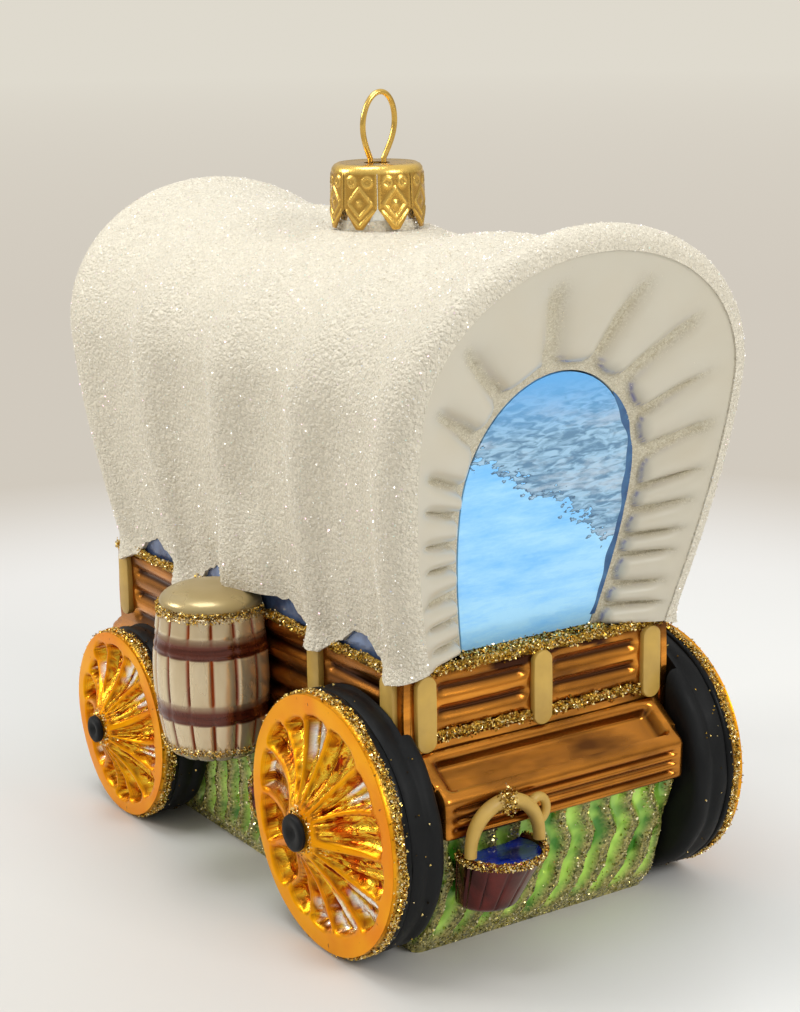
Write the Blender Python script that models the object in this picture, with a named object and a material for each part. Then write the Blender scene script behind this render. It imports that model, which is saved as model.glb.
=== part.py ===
"""Blown-glass covered wagon ornament: one solid for each moulded piece, its crown cap and its wire hanger.

Metres, +Z up. The wagon's length lies along Y with the tail, which carries the bucket, at -Y, and its
left side, which carries the bundle, at -X. The origin is on the floor, under the middle of the box.
"""

import math

import bmesh
import bpy
from mathutils import Matrix, Vector

# Seat between two pieces that touch.
GAP = 0.0003

# Wagon box: outer faces, wall and planks. The grass carries it.
GRASS_HEIGHT = 0.0232
BOX_HALF_WIDTH = 0.0275
BOX_HALF_LENGTH = 0.0515
BOX_HEIGHT = 0.0267
BOX_WALL = 0.0016
SIDE_PLANKS = 6
END_PLANKS = 3
END_SILL = 0.0024
GROOVE_DEPTH = 0.0008

# Stakes moulded on the box walls, placed as shares of the wall's half length.
STAKE_WIDTH = 0.0040
STAKE_PROUD = 0.0010
STAKE_DROP = 0.0008
SIDE_STAKE_SHARES = (-0.925, -0.48, 0.48, 0.925)
END_STAKE_SHARES = (-0.855, 0.0, 0.855)

# Feed boxes, one on each end: slanted tray and ribbed front.
FEED_SIDE_INSET = 0.0023
FEED_DEPTH_REAR = 0.0080
FEED_DEPTH_FRONT = 0.0100
FEED_BACK_RISE = 0.0125
FEED_FRONT_RISE = 0.0072
TRAY_RIM = 0.0026
TRAY_DEPTH = 0.0018
FEED_RIBS = 3
FEED_RIB_PROUD = 0.0006

# Grass under the box: it leans out past the box's ends toward the top. Its blades rib it all round.
GRASS_SIDE_INSET = 0.0015
GRASS_END_STEP = 0.0063
GRASS_LEAN_DEGREES = 17.0
GRASS_FOOT_HEIGHT = 0.0040
GRASS_FOOT_INSET = 0.0014
GRASS_BLADE_DEPTH = 0.0007
GRASS_BLADES_SIDE = 14
GRASS_BLADES_END = 9
GRASS_CORNER = 0.0024

# Wheels: rolling radius and place along the box, as a share of its half length.
REAR_WHEEL_RADIUS = 0.0226
FRONT_WHEEL_RADIUS = 0.0185
REAR_WHEEL_SHARE = -0.768
FRONT_WHEEL_SHARE = 0.69
TYRE_WIDTH = 0.0067
TYRE_EDGE = 0.0012
BAND_INSET = 0.0001
BAND_TAPER = 0.0004
FELLOE_SHARE = 0.83
WHEEL_PLATE = 0.0008
FELLOE_RISE = 0.0034
SPOKE_RISE = 0.0024
SPOKES = 14
NAVE_RISE = 0.0077
NAVE_SHARE = 0.18
HUB_SHARE = 0.14
HUB_HEIGHT = 0.0010

# Barrels on both sides of the box.
BARREL_OUT = 0.0070
BARREL_Y = -0.0005
BARREL_SWELL = 0.0016
BARREL_TOP_RADIUS = 0.0096
BARREL_FOOT_RADIUS = 0.0086
BARREL_LIFT = 0.0009
BARREL_HEIGHT = 0.0266
HOOP_WIDTH = 0.0024
HOOP_PROUD = 0.0003
HOOP_SHARES = (0.31, 0.80)
LID_HEIGHT = 0.0012
LID_CROWN = 0.0025

# Bucket that hangs on the tail, half sunk in the slope of the grass.
BUCKET_ACROSS_SHARE = -0.525
BUCKET_OUT = 0.0022
BUCKET_DROP = 0.0030
BUCKET_HEIGHT = 0.0110
BUCKET_LEAN = 0.0045
BUCKET_TOP_RADIUS = 0.0077
BUCKET_FOOT_RADIUS = 0.0053
BUCKET_WALL = 0.0009
WATER_DEPTH = 0.0012
WATER_BELOW_RIM = 0.0005
BAIL_RADIUS = 0.0013
BAIL_HEIGHT = 0.0094

# Bundle on the left side, ahead of the rear wheel.
BUNDLE_Y = -0.0040
BUNDLE_Z = 0.0150
BUNDLE_HALF_LENGTH = 0.0052
BUNDLE_HALF_HEIGHT = 0.0066
BUNDLE_PROUD = 0.0038

# Canvas cover: a shell over five bows, flared to a rolled rim at each end. Rises are above the box.
COVER_WALL = 0.0013
COVER_OVERHANG = 0.0008
COVER_SPRING_RISE = 0.0425
COVER_END_SWELL = 0.0059
COVER_MID_SWELL = 0.0039
COVER_END_RISE = 0.0705
COVER_MID_RISE = 0.0649
FRONT_DROP = 0.0015
REAR_INSET = 0.0009
FRONT_INSET = 0.0055
REAR_LEAN_DEGREES = 11.7
FRONT_LEAN_DEGREES = 10.0
RIM_RADIUS = 0.0040
BOWS = 5
BOW_SWELL = 0.0009
SKIRT_ARCH_RISE = 0.0056
GLASS_STRIP_HEIGHT = 0.0076
LEG_SHARE = 0.46
COVER_COLUMNS = 32

# Gathered end curtains and their panes. Rises are above the box.
PLEATS = 20
PLEAT_DEPTH = 0.0009
CURTAIN_WALL = 0.0011
CURTAIN_RECESS = 0.0050
PANE_FOOT_HALF_WIDTH = 0.0135
PANE_SWELL = 0.0037
PANE_SPRING_RISE = 0.0265
PANE_TOP_RISE = 0.0473
PANE_WALL = 0.0010
PANE_SINK = 0.0020

# Neck, crown cap and wire hanger, just behind the middle of the cover.
NECK_Y = -0.0039
NECK_RADIUS = 0.0072
NECK_WALL = 0.0018
NECK_RISE = 0.0112
NECK_SINK = 0.0040
CAP_WALL = 0.0005
CAP_EASE = 0.0010
CAP_SHOULDER = 0.0012
CAP_NOTCH_HEIGHT = 0.0040
CAP_PETALS = 8
PETAL_TIP_SHARE = 0.18
CAP_SLIT = 0.0004
CAP_HOLE_RADIUS = 0.0023
WIRE_RADIUS = 0.00055
LOOP_HALF_WIDTH = 0.0033
LOOP_WIDEST_RISE = 0.0066
LOOP_HEIGHT = 0.0126
LOOP_LEAN_DEGREES = 4.5
LOOP_FOOT_HALF_WIDTH = 0.0014
LEG_LENGTH = 0.0170

SIDES = (("left", -1), ("right", 1))
ENDS = (("rear", -1), ("front", 1))

# Places that follow from the sizes above.
BOX_BOTTOM_Z = GRASS_HEIGHT + GAP
BOX_TOP_Z = BOX_BOTTOM_Z + BOX_HEIGHT
STAKE_TOP_Z = BOX_TOP_Z - STAKE_DROP
FEED_HALF_WIDTH = BOX_HALF_WIDTH - FEED_SIDE_INSET
FEED_BACK_Z = BOX_BOTTOM_Z + FEED_BACK_RISE
FEED_FRONT_Z = BOX_BOTTOM_Z + FEED_FRONT_RISE
FEED_DEPTH = {"rear": FEED_DEPTH_REAR, "front": FEED_DEPTH_FRONT}
STAKE_HEIGHT = STAKE_TOP_Z - FEED_BACK_Z - GAP
GRASS_HALF_WIDTH = BOX_HALF_WIDTH - GRASS_SIDE_INSET
GRASS_HALF_LENGTH = BOX_HALF_LENGTH + GRASS_END_STEP
GRASS_SLOPE = math.tan(math.radians(GRASS_LEAN_DEGREES))
TYRE_INNER_X = GRASS_HALF_WIDTH + GAP
WHEELS = (
    ("rear", REAR_WHEEL_SHARE * BOX_HALF_LENGTH, REAR_WHEEL_RADIUS),
    ("front", FRONT_WHEEL_SHARE * BOX_HALF_LENGTH, FRONT_WHEEL_RADIUS),
)
BARREL_X = BOX_HALF_WIDTH + BARREL_OUT
BARREL_BOTTOM_Z = BOX_BOTTOM_Z + BARREL_LIFT
LID_TOP_Z = BARREL_BOTTOM_Z + BARREL_HEIGHT + GAP + LID_HEIGHT + LID_CROWN
BUCKET_X = BUCKET_ACROSS_SHARE * BOX_HALF_WIDTH
BUCKET_Y = -(GRASS_HALF_LENGTH + BUCKET_OUT)
BUCKET_TOP_Z = BOX_BOTTOM_Z - BUCKET_DROP
COVER_FOOT_HALF_WIDTH = BOX_HALF_WIDTH + COVER_OVERHANG
COVER_SPRING_Z = BOX_TOP_Z + COVER_SPRING_RISE
COVER_END_HALF_WIDTH = COVER_FOOT_HALF_WIDTH + COVER_END_SWELL
COVER_MID_HALF_WIDTH = COVER_FOOT_HALF_WIDTH + COVER_MID_SWELL
COVER_END_TOP_Z = BOX_TOP_Z + COVER_END_RISE
COVER_MID_TOP_Z = BOX_TOP_Z + COVER_MID_RISE
PANE_HALF_WIDTH = PANE_FOOT_HALF_WIDTH + PANE_SWELL
PANE_SPRING_Z = BOX_TOP_Z + PANE_SPRING_RISE
PANE_TOP_Z = BOX_TOP_Z + PANE_TOP_RISE
NECK_TOP_Z = COVER_MID_TOP_Z + NECK_RISE
NECK_FOOT_Z = COVER_MID_TOP_Z - NECK_SINK
NECK_BORE_RADIUS = NECK_RADIUS - NECK_WALL
CAP_TOP_Z = NECK_TOP_Z + GAP + CAP_WALL
CAP_TIP_Z = COVER_MID_TOP_Z + BOW_SWELL
CAP_RADIUS = NECK_RADIUS + CAP_EASE + CAP_WALL

MATERIALS = {
    "frosted_cover": ((0.90, 0.88, 0.83), 0.75, 0.0),
    "pearl": ((0.82, 0.80, 0.74), 0.35, 0.0),
    "blue_glass": ((0.25, 0.55, 0.90), 0.08, 0.2),
    "brown_lacquer": ((0.42, 0.17, 0.03), 0.25, 0.3),
    "black_lacquer": ((0.02, 0.022, 0.025), 0.6, 0.0),
    "amber_lacquer": ((0.95, 0.45, 0.02), 0.12, 0.6),
    "green_lacquer": ((0.18, 0.42, 0.05), 0.2, 0.3),
    "maroon_lacquer": ((0.16, 0.03, 0.03), 0.2, 0.3),
    "tan_enamel": ((0.50, 0.36, 0.13), 0.45, 0.0),
    "clear_glass": ((0.85, 0.87, 0.87), 0.05, 0.0),
    "gold_metal": ((0.80, 0.55, 0.16), 0.25, 1.0),
}


def clear_scene():
    for obj in list(bpy.data.objects):
        bpy.data.objects.remove(obj)


def material(name):
    found = bpy.data.materials.get(name)
    if found:
        return found
    colour, roughness, metallic = MATERIALS[name]
    made = bpy.data.materials.new(name)
    made.use_nodes = True
    shader = made.node_tree.nodes["Principled BSDF"]
    shader.inputs["Base Color"].default_value = (*colour, 1.0)
    shader.inputs["Roughness"].default_value = roughness
    shader.inputs["Metallic"].default_value = metallic
    made.diffuse_color = (*colour, 1.0)
    return made


def add_object(name, data, material_name, smooth_angle=35):
    obj = bpy.data.objects.new(name, data)
    bpy.context.scene.collection.objects.link(obj)
    data.materials.append(material(material_name))
    if isinstance(data, bpy.types.Mesh):
        data.shade_smooth()
        data.set_sharp_from_angle(angle=math.radians(smooth_angle))
    return obj


def finish_mesh(bm, name, recalculate=True):
    if recalculate:
        bmesh.ops.recalc_face_normals(bm, faces=bm.faces)
    mesh = bpy.data.meshes.new(name)
    bm.to_mesh(mesh)
    bm.free()
    return mesh


def grid_faces(bm, rows, closed):
    """Quads between successive rows of vertices. A closed row joins its last vertex to its first."""
    for low, high in zip(rows, rows[1:]):
        count = len(low)
        for i in range(count if closed else count - 1):
            j = (i + 1) % count
            bm.faces.new((low[i], low[j], high[j], high[i]))


def turned(profile, axis, centre, segments):
    """A turned solid: profile is (radius, height) pairs from foot to top, and each end is capped."""
    bm = bmesh.new()
    turn = Vector((0, 0, 1)).rotation_difference(Vector(axis)).to_matrix()
    rows = []
    for radius, height in profile:
        ring = []
        for i in range(segments):
            angle = 2 * math.pi * i / segments
            point = Vector((radius * math.cos(angle), radius * math.sin(angle), height))
            ring.append(bm.verts.new(turn @ point + Vector(centre)))
        rows.append(ring)
    grid_faces(bm, rows, closed=True)
    bm.faces.new(reversed(rows[0]))
    bm.faces.new(rows[-1])
    return bm


def prism(outline, low, high, place):
    """A solid from an outline of (a, b) pairs, carried from low to high; place(a, b, t) gives the point."""
    bm = bmesh.new()
    ends = [[bm.verts.new(place(a, b, t)) for a, b in outline] for t in (low, high)]
    grid_faces(bm, ends, closed=True)
    bm.faces.new(reversed(ends[0]))
    bm.faces.new(ends[1])
    return bm


def cut_away(bm, point, outward):
    """Cuts off what lies past a plane, on the side that outward points to, and closes the cut."""
    geometry = bm.verts[:] + bm.edges[:] + bm.faces[:]
    bmesh.ops.bisect_plane(
        bm, geom=geometry, dist=1e-7, plane_co=point, plane_no=outward, clear_outer=True
    )
    edges = [e for e in bm.edges if e.is_boundary]
    bmesh.ops.edgenet_fill(bm, edges=edges)


def bake_modifiers(obj):
    """Replaces an object's mesh by the evaluated one and drops its modifiers."""
    graph = bpy.context.evaluated_depsgraph_get()
    graph.update()
    mesh = bpy.data.meshes.new_from_object(obj.evaluated_get(graph))
    obj.modifiers.clear()
    obj.data = mesh
    mesh.shade_smooth()
    mesh.set_sharp_from_angle(angle=math.radians(35))


def combine(obj, tool, operation):
    """Adds or subtracts a helper object, which is then removed."""
    boolean = obj.modifiers.new(operation.lower(), "BOOLEAN")
    boolean.operation = operation
    boolean.object = tool
    bake_modifiers(obj)
    bpy.data.objects.remove(tool)


def shell(outer, inner):
    """A closed wall between two like grids of points, given as rows; outer is the face that shows."""
    bm = bmesh.new()
    grids = [[[bm.verts.new(point) for point in row] for row in grid] for grid in (outer, inner)]
    for rows in grids:
        grid_faces(bm, rows, closed=False)
    front, back = grids
    for row_a, row_b in ((front[0], back[0]), (front[-1], back[-1])):
        grid_faces(bm, [row_a, row_b], closed=False)
    for index in (0, -1):
        grid_faces(bm, [[row[index] for row in front], [row[index] for row in back]], closed=False)
    return bm


def stake_outline(inset):
    """Outline of one stake seen from outside: (across, up) from its centre, with rounded ends."""
    half_width = STAKE_WIDTH / 2 - inset
    shoulder = STAKE_HEIGHT / 2 - inset - half_width * 0.8
    points = []
    for sign in (1, -1):
        for step in range(5):
            angle = math.pi * step / 4
            up = shoulder + half_width * 0.8 * math.sin(angle)
            points.append((sign * half_width * math.cos(angle), sign * up))
    return points


def add_stakes(panel, centres, place):
    """Joins stakes to a panel. place(across, up, out) gives a point off the panel's outer face."""
    bm = bmesh.new()
    middle_z = STAKE_TOP_Z - STAKE_HEIGHT / 2
    edge = STAKE_PROUD * 0.4
    for centre in centres:
        layers = []
        for out, inset in ((-BOX_WALL / 2, 0.0), (STAKE_PROUD - edge, 0.0), (STAKE_PROUD, edge)):
            points = [place(centre + across, middle_z + up, out) for across, up in stake_outline(inset)]
            layers.append([bm.verts.new(point) for point in points])
        grid_faces(bm, layers, closed=True)
        bm.faces.new(reversed(layers[0]))
        bm.faces.new(layers[-1])
    tool = add_object("stakes_tool", finish_mesh(bm, "stakes_tool"), "tan_enamel")
    combine(panel, tool, "UNION")


def plank_outline(foot_z, planks):
    """Section of a plank wall: (out, z) pairs, flat inside, with rounded planks outside above foot_z."""
    points = [(-BOX_WALL, BOX_BOTTOM_Z)]
    if foot_z > BOX_BOTTOM_Z:
        points += [(0.0, BOX_BOTTOM_Z), (0.0, foot_z - GROOVE_DEPTH / 2)]
    height = (BOX_TOP_Z - foot_z) / planks
    for k in range(planks):
        low = foot_z + k * height
        points.append((-GROOVE_DEPTH, low))
        points.append((-GROOVE_DEPTH * 0.3, low + height * 0.12))
        points.append((0.0, low + height * 0.35))
        points.append((0.0, low + height * 0.65))
        points.append((-GROOVE_DEPTH * 0.3, low + height * 0.88))
    points += [(-GROOVE_DEPTH, BOX_TOP_Z), (-BOX_WALL, BOX_TOP_Z)]
    return points


def build_box():
    for name, sign in SIDES:

        def place(y, z, out, sign=sign):
            return (sign * (BOX_HALF_WIDTH + out), y, z)

        outline = plank_outline(BOX_BOTTOM_Z, SIDE_PLANKS)
        bm = prism(outline, -BOX_HALF_LENGTH, BOX_HALF_LENGTH, lambda out, z, y: place(y, z, out))
        panel = add_object(f"side_{name}", finish_mesh(bm, f"side_{name}"), "brown_lacquer")
        add_stakes(panel, [share * BOX_HALF_LENGTH for share in SIDE_STAKE_SHARES], place)

    half_width = BOX_HALF_WIDTH - BOX_WALL - GAP
    for name, sign in ENDS:

        def place(x, z, out, sign=sign):
            return (x, sign * (BOX_HALF_LENGTH + out), z)

        outline = plank_outline(FEED_BACK_Z + END_SILL, END_PLANKS)
        bm = prism(outline, -half_width, half_width, lambda out, z, x: place(x, z, out))
        panel = add_object(f"end_{name}", finish_mesh(bm, f"end_{name}"), "brown_lacquer")
        add_stakes(panel, [share * BOX_HALF_WIDTH for share in END_STAKE_SHARES], place)

    half_length = BOX_HALF_LENGTH - BOX_WALL - GAP
    outline = [(-half_width, -half_length), (half_width, -half_length)]
    outline += [(half_width, half_length), (-half_width, half_length)]
    bm = prism(outline, BOX_BOTTOM_Z, BOX_BOTTOM_Z + BOX_WALL, lambda x, y, z: (x, y, z))
    add_object("bed_floor", finish_mesh(bm, "bed_floor"), "brown_lacquer")


def feed_section(depth):
    """Side view of a feed box: (out, z) pairs, slanted top, ribbed front and flat foot."""
    points = [(GAP, BOX_BOTTOM_Z), (depth - FEED_RIB_PROUD, BOX_BOTTOM_Z)]
    front_height = FEED_FRONT_Z - BOX_BOTTOM_Z
    for k in range(FEED_RIBS):
        low = BOX_BOTTOM_Z + front_height * k / FEED_RIBS
        rib = front_height / FEED_RIBS
        points.append((depth, low + rib * 0.3))
        points.append((depth, low + rib * 0.8))
        if k < FEED_RIBS - 1:
            points.append((depth - FEED_RIB_PROUD, low + rib))
    points += [(depth - FEED_RIB_PROUD / 2, FEED_FRONT_Z), (GAP, FEED_BACK_Z)]
    return points


def build_feed_boxes():
    for name, sign in ENDS:
        bm = prism(
            feed_section(FEED_DEPTH[name]),
            -FEED_HALF_WIDTH,
            FEED_HALF_WIDTH,
            lambda out, z, x, sign=sign: (x, sign * (BOX_HALF_LENGTH + out), z),
        )
        bmesh.ops.recalc_face_normals(bm, faces=bm.faces)
        tray = max(bm.faces, key=lambda face: face.calc_center_median().z)
        bmesh.ops.inset_region(bm, faces=[tray], thickness=TRAY_RIM, use_even_offset=True)
        for vert in tray.verts:
            vert.co.z -= TRAY_DEPTH
        add_object(f"feed_box_{name}", finish_mesh(bm, f"feed_box_{name}"), "brown_lacquer")


def grass_outline():
    """Plan of the grass: (x, y, nx, ny) round the rectangle, ribbed by its blades."""
    points = []
    half_x, half_y, corner = GRASS_HALF_WIDTH, GRASS_HALF_LENGTH, GRASS_CORNER
    runs = (
        ((half_x, -half_y + corner), (half_x, half_y - corner), (1, 0), GRASS_BLADES_SIDE),
        ((half_x - corner, half_y), (-half_x + corner, half_y), (0, 1), GRASS_BLADES_END),
        ((-half_x, half_y - corner), (-half_x, -half_y + corner), (-1, 0), GRASS_BLADES_SIDE),
        ((-half_x + corner, -half_y), (half_x - corner, -half_y), (0, -1), GRASS_BLADES_END),
    )
    for start, end, normal, blades in runs:
        steps = 2 * blades
        for i in range(steps + 1):
            t = i / steps
            depth = GRASS_BLADE_DEPTH if i % 2 else 0.0
            x = start[0] + (end[0] - start[0]) * t - normal[0] * depth
            y = start[1] + (end[1] - start[1]) * t - normal[1] * depth
            points.append((x, y, *normal))
    return points


def grass_front(z):
    """Half length of the grass at height z, up its leaning ends."""
    return GRASS_HALF_LENGTH - (GRASS_HEIGHT - z) * GRASS_SLOPE


def build_grass():
    bm = bmesh.new()
    rows = []
    for z, inset in ((0.0, 1.0), (GRASS_FOOT_HEIGHT, 0.0), (GRASS_HEIGHT, 0.0)):
        ring = []
        for x, y, nx, ny in grass_outline():
            back = GRASS_FOOT_INSET * inset
            scale = grass_front(z) / GRASS_HALF_LENGTH
            ring.append(bm.verts.new((x - nx * back, y * scale - ny * back, z)))
        rows.append(ring)
    grid_faces(bm, rows, closed=True)
    bm.faces.new(reversed(rows[0]))
    bm.faces.new(rows[-1])
    add_object("grass_base", finish_mesh(bm, "grass_base"), "green_lacquer", smooth_angle=20)


def wheel_height(share, angle):
    """Height of the wheel's face above its back, at a share of its radius and an angle round it."""
    if share >= FELLOE_SHARE:
        return FELLOE_RISE
    if share <= NAVE_SHARE:
        return NAVE_RISE
    along = (share - NAVE_SHARE) / (FELLOE_SHARE - NAVE_SHARE)
    cone = (NAVE_RISE - WHEEL_PLATE) * (1 - along) ** 1.6
    ridge = max(0.0, math.cos(SPOKES * angle)) * SPOKE_RISE * (0.35 + 0.65 * along)
    return WHEEL_PLATE + cone * 0.8 + ridge


def wheel_mesh(side_sign, y, radius):
    """The dished wheel face: flat felloe, raised spokes and a nave."""
    columns = SPOKES * 4
    face_radius = radius - BAND_INSET - BAND_TAPER
    band_share = (radius - BAND_INSET) / face_radius
    back_x = TYRE_INNER_X + TYRE_WIDTH + GAP
    edge = [(band_share, 0.0), (band_share, BAND_INSET), (1.0, FELLOE_RISE), (FELLOE_SHARE, FELLOE_RISE)]
    inner = (FELLOE_SHARE - 0.05, 0.42, NAVE_SHARE)
    bm = bmesh.new()
    rows = []
    for share, height in [*edge, *((share, None) for share in inner)]:
        ring = []
        for i in range(columns):
            angle = 2 * math.pi * i / columns
            rise = wheel_height(share, angle) if height is None else height
            across = face_radius * share * math.cos(angle)
            up = face_radius * share * math.sin(angle)
            ring.append(bm.verts.new((side_sign * (back_x + rise), y + across, radius + up)))
        rows.append(ring)
    grid_faces(bm, rows, closed=True)
    bm.faces.new(rows[0])
    bm.faces.new(rows[-1])
    return bm


def box_clearance():
    """Helper block round the wagon box, which the tyres are let into."""
    half_width = BOX_HALF_WIDTH + STAKE_PROUD + GAP
    half_length = BOX_HALF_LENGTH + STAKE_PROUD + GAP
    outline = [(-half_width, -half_length), (half_width, -half_length)]
    outline += [(half_width, half_length), (-half_width, half_length)]
    bm = prism(outline, BOX_BOTTOM_Z - GAP, BOX_TOP_Z, lambda x, y, z: (x, y, z))
    return add_object("box_tool", finish_mesh(bm, "box_tool"), "black_lacquer")


def build_wheels():
    for side, side_sign in SIDES:
        for place, y, radius in WHEELS:
            name = f"{place}_{side}"
            axis = (side_sign, 0, 0)
            inner = (side_sign * TYRE_INNER_X, y, radius)
            profile = [
                (radius - TYRE_EDGE, 0.0),
                (radius - TYRE_EDGE * 0.2, TYRE_EDGE),
                (radius, TYRE_WIDTH * 0.4),
                (radius, TYRE_WIDTH - TYRE_EDGE * 0.4),
                (radius - TYRE_EDGE * 0.5, TYRE_WIDTH),
            ]
            bm = turned(profile, axis, inner, 32)
            tyre = add_object(f"tyre_{name}", finish_mesh(bm, f"tyre_{name}"), "black_lacquer")
            combine(tyre, box_clearance(), "DIFFERENCE")

            bm = wheel_mesh(side_sign, y, radius)
            add_object(f"wheel_{name}", finish_mesh(bm, f"wheel_{name}"), "amber_lacquer")

            hub = radius * HUB_SHARE
            seat = TYRE_INNER_X + TYRE_WIDTH + NAVE_RISE + 2 * GAP
            profile = [(hub, 0.0), (hub, HUB_HEIGHT * 0.6), (hub * 0.85, HUB_HEIGHT)]
            bm = turned(profile, axis, (side_sign * seat, y, radius), 16)
            add_object(f"hub_{name}", finish_mesh(bm, f"hub_{name}"), "black_lacquer")


def barrel_radius(share):
    """Radius of the barrel's staves at a share of its height."""
    straight = BARREL_FOOT_RADIUS + (BARREL_TOP_RADIUS - BARREL_FOOT_RADIUS) * share
    return straight + BARREL_SWELL * math.sin(math.pi * share)


def build_barrels():
    segments = 24
    shares = {0.0: 0.0, 0.05: 0.0, 0.55: 0.0, 0.97: 0.0, 1.0: 0.0}
    half_hoop = HOOP_WIDTH / BARREL_HEIGHT / 2
    for centre in HOOP_SHARES:
        shares[centre - half_hoop * 1.3] = 0.0
        shares[centre - half_hoop] = HOOP_PROUD
        shares[centre + half_hoop] = HOOP_PROUD
        shares[centre + half_hoop * 1.3] = 0.0
    profile = []
    for share in sorted(shares):
        chamfer = BARREL_FOOT_RADIUS * 0.05 if share in (0.0, 1.0) else 0.0
        profile.append((barrel_radius(share) + shares[share] - chamfer, share * BARREL_HEIGHT))
    rim = BARREL_TOP_RADIUS * 0.97
    lid_profile = [(rim * 0.96, 0.0), (rim, LID_HEIGHT * 0.4), (rim, LID_HEIGHT * 0.7)]
    for angle in (30, 55, 75):
        turn = math.radians(angle)
        lid_profile.append((rim * math.cos(turn), LID_HEIGHT + LID_CROWN * math.sin(turn)))
    for name, sign in SIDES:
        cut = (sign * (BOX_HALF_WIDTH + GAP), 0, 0)
        toward_box = (-sign, 0, 0)
        foot = (sign * BARREL_X, BARREL_Y, BARREL_BOTTOM_Z)
        bm = turned(profile, (0, 0, 1), foot, segments)
        cut_away(bm, cut, toward_box)
        add_object(f"barrel_{name}", finish_mesh(bm, f"barrel_{name}"), "pearl")
        lid_foot = (sign * BARREL_X, BARREL_Y, BARREL_BOTTOM_Z + BARREL_HEIGHT + GAP)
        bm = turned(lid_profile, (0, 0, 1), lid_foot, segments)
        cut_away(bm, cut, toward_box)
        add_object(f"barrel_lid_{name}", finish_mesh(bm, f"barrel_lid_{name}"), "pearl")


def bucket_mesh(profile, foot_height):
    """Leaning bucket shape from (radius, height) pairs above its foot, cut where it meets the grass."""
    segments = 24
    rows = []
    bm = bmesh.new()
    for radius, height in profile:
        up = foot_height + height
        y = BUCKET_Y + BUCKET_LEAN * (1 - up / BUCKET_HEIGHT)
        z = BUCKET_TOP_Z - BUCKET_HEIGHT + up
        ring = []
        for i in range(segments):
            angle = 2 * math.pi * i / segments
            ring.append(bm.verts.new((BUCKET_X + radius * math.cos(angle), y + radius * math.sin(angle), z)))
        rows.append(ring)
    grid_faces(bm, rows, closed=True)
    bm.faces.new(reversed(rows[0]))
    bm.faces.new(rows[-1])
    return bm


def build_bucket():
    toward_grass = Vector((0, 1, GRASS_SLOPE)).normalized()
    face = Vector((0, -GRASS_HALF_LENGTH, GRASS_HEIGHT)) - toward_grass * GAP
    well = WATER_DEPTH + WATER_BELOW_RIM + GAP
    mouth = BUCKET_TOP_RADIUS - BUCKET_WALL
    taper = (BUCKET_TOP_RADIUS - BUCKET_FOOT_RADIUS) / BUCKET_HEIGHT
    profile = [
        (BUCKET_FOOT_RADIUS * 0.9, 0.0),
        (BUCKET_FOOT_RADIUS, BUCKET_FOOT_RADIUS * 0.08),
        (BUCKET_TOP_RADIUS, BUCKET_HEIGHT),
        (mouth, BUCKET_HEIGHT),
        (mouth - taper * well, BUCKET_HEIGHT - well),
    ]
    bm = bucket_mesh(profile, 0.0)
    cut_away(bm, face, toward_grass)
    add_object("bucket", finish_mesh(bm, "bucket"), "maroon_lacquer")

    low = mouth - taper * (well - GAP) - GAP
    high = mouth - taper * WATER_BELOW_RIM - GAP
    bm = bucket_mesh([(low, 0.0), (high, WATER_DEPTH)], BUCKET_HEIGHT - WATER_BELOW_RIM - WATER_DEPTH)
    cut_away(bm, face, toward_grass)
    add_object("bucket_water", finish_mesh(bm, "bucket_water"), "blue_glass")

    front_y = -(BOX_HALF_LENGTH + FEED_DEPTH["rear"])
    bail_y = min(BUCKET_Y, front_y - BAIL_RADIUS - GAP)
    half_span = BUCKET_TOP_RADIUS - BAIL_RADIUS * 0.6
    foot_z = BUCKET_TOP_Z + GAP
    points = []
    steps = 16
    for i in range(steps + 1):
        angle = math.pi * i / steps
        x = BUCKET_X - half_span * math.cos(angle)
        z = foot_z + (BAIL_HEIGHT - BAIL_RADIUS) * math.sin(angle) ** 0.8
        points.append((x, bail_y, z))
    add_object("bucket_bail", tube("bucket_bail", points, BAIL_RADIUS, 2), "tan_enamel")


def tube(name, points, radius, resolution):
    """A curve through points with a round section and closed ends."""
    curve = bpy.data.curves.new(name, "CURVE")
    curve.dimensions = "3D"
    curve.bevel_depth = radius
    curve.bevel_resolution = resolution
    curve.use_fill_caps = True
    curve.twist_mode = "MINIMUM"
    spline = curve.splines.new("POLY")
    spline.points.add(len(points) - 1)
    for point, co in zip(spline.points, points):
        point.co = (*co, 1.0)
    return curve


def build_bundle():
    bm = bmesh.new()
    bmesh.ops.create_uvsphere(bm, u_segments=16, v_segments=10, radius=1.0)
    face_x = -(GRASS_HALF_WIDTH + GAP)
    depth = BUNDLE_PROUD * 1.8
    middle = Vector((face_x - BUNDLE_PROUD + depth, BUNDLE_Y, BUNDLE_Z))
    size = Vector((depth, BUNDLE_HALF_LENGTH, BUNDLE_HALF_HEIGHT))
    for vert in bm.verts:
        vert.co = middle + vert.co * size
    cut_away(bm, (face_x, 0, 0), (1, 0, 0))
    add_object("side_bundle", finish_mesh(bm, "side_bundle"), "maroon_lacquer")


def arch(foot_half, widest_half, spring_z, top_z, foot_z, leg_z, v):
    """Point (x, z) of a horseshoe arch at v from -1, the left foot at foot_z, to 1, the right one.

    The legs swell from foot_half, which they have at and below leg_z, to widest_half at spring_z.
    """
    side = -1 if v < 0 else 1
    lift = (1 - abs(v)) / LEG_SHARE
    if lift < 1:
        z = foot_z + (spring_z - foot_z) * lift
        rise = max(0.0, (z - leg_z) / (spring_z - leg_z))
        return side * (foot_half + (widest_half - foot_half) * math.sin(math.pi / 2 * rise)), z
    angle = math.pi / 2 * (1 - (abs(v)) / (1 - LEG_SHARE))
    return side * widest_half * math.cos(angle), spring_z + (top_z - spring_z) * math.sin(angle)


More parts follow.
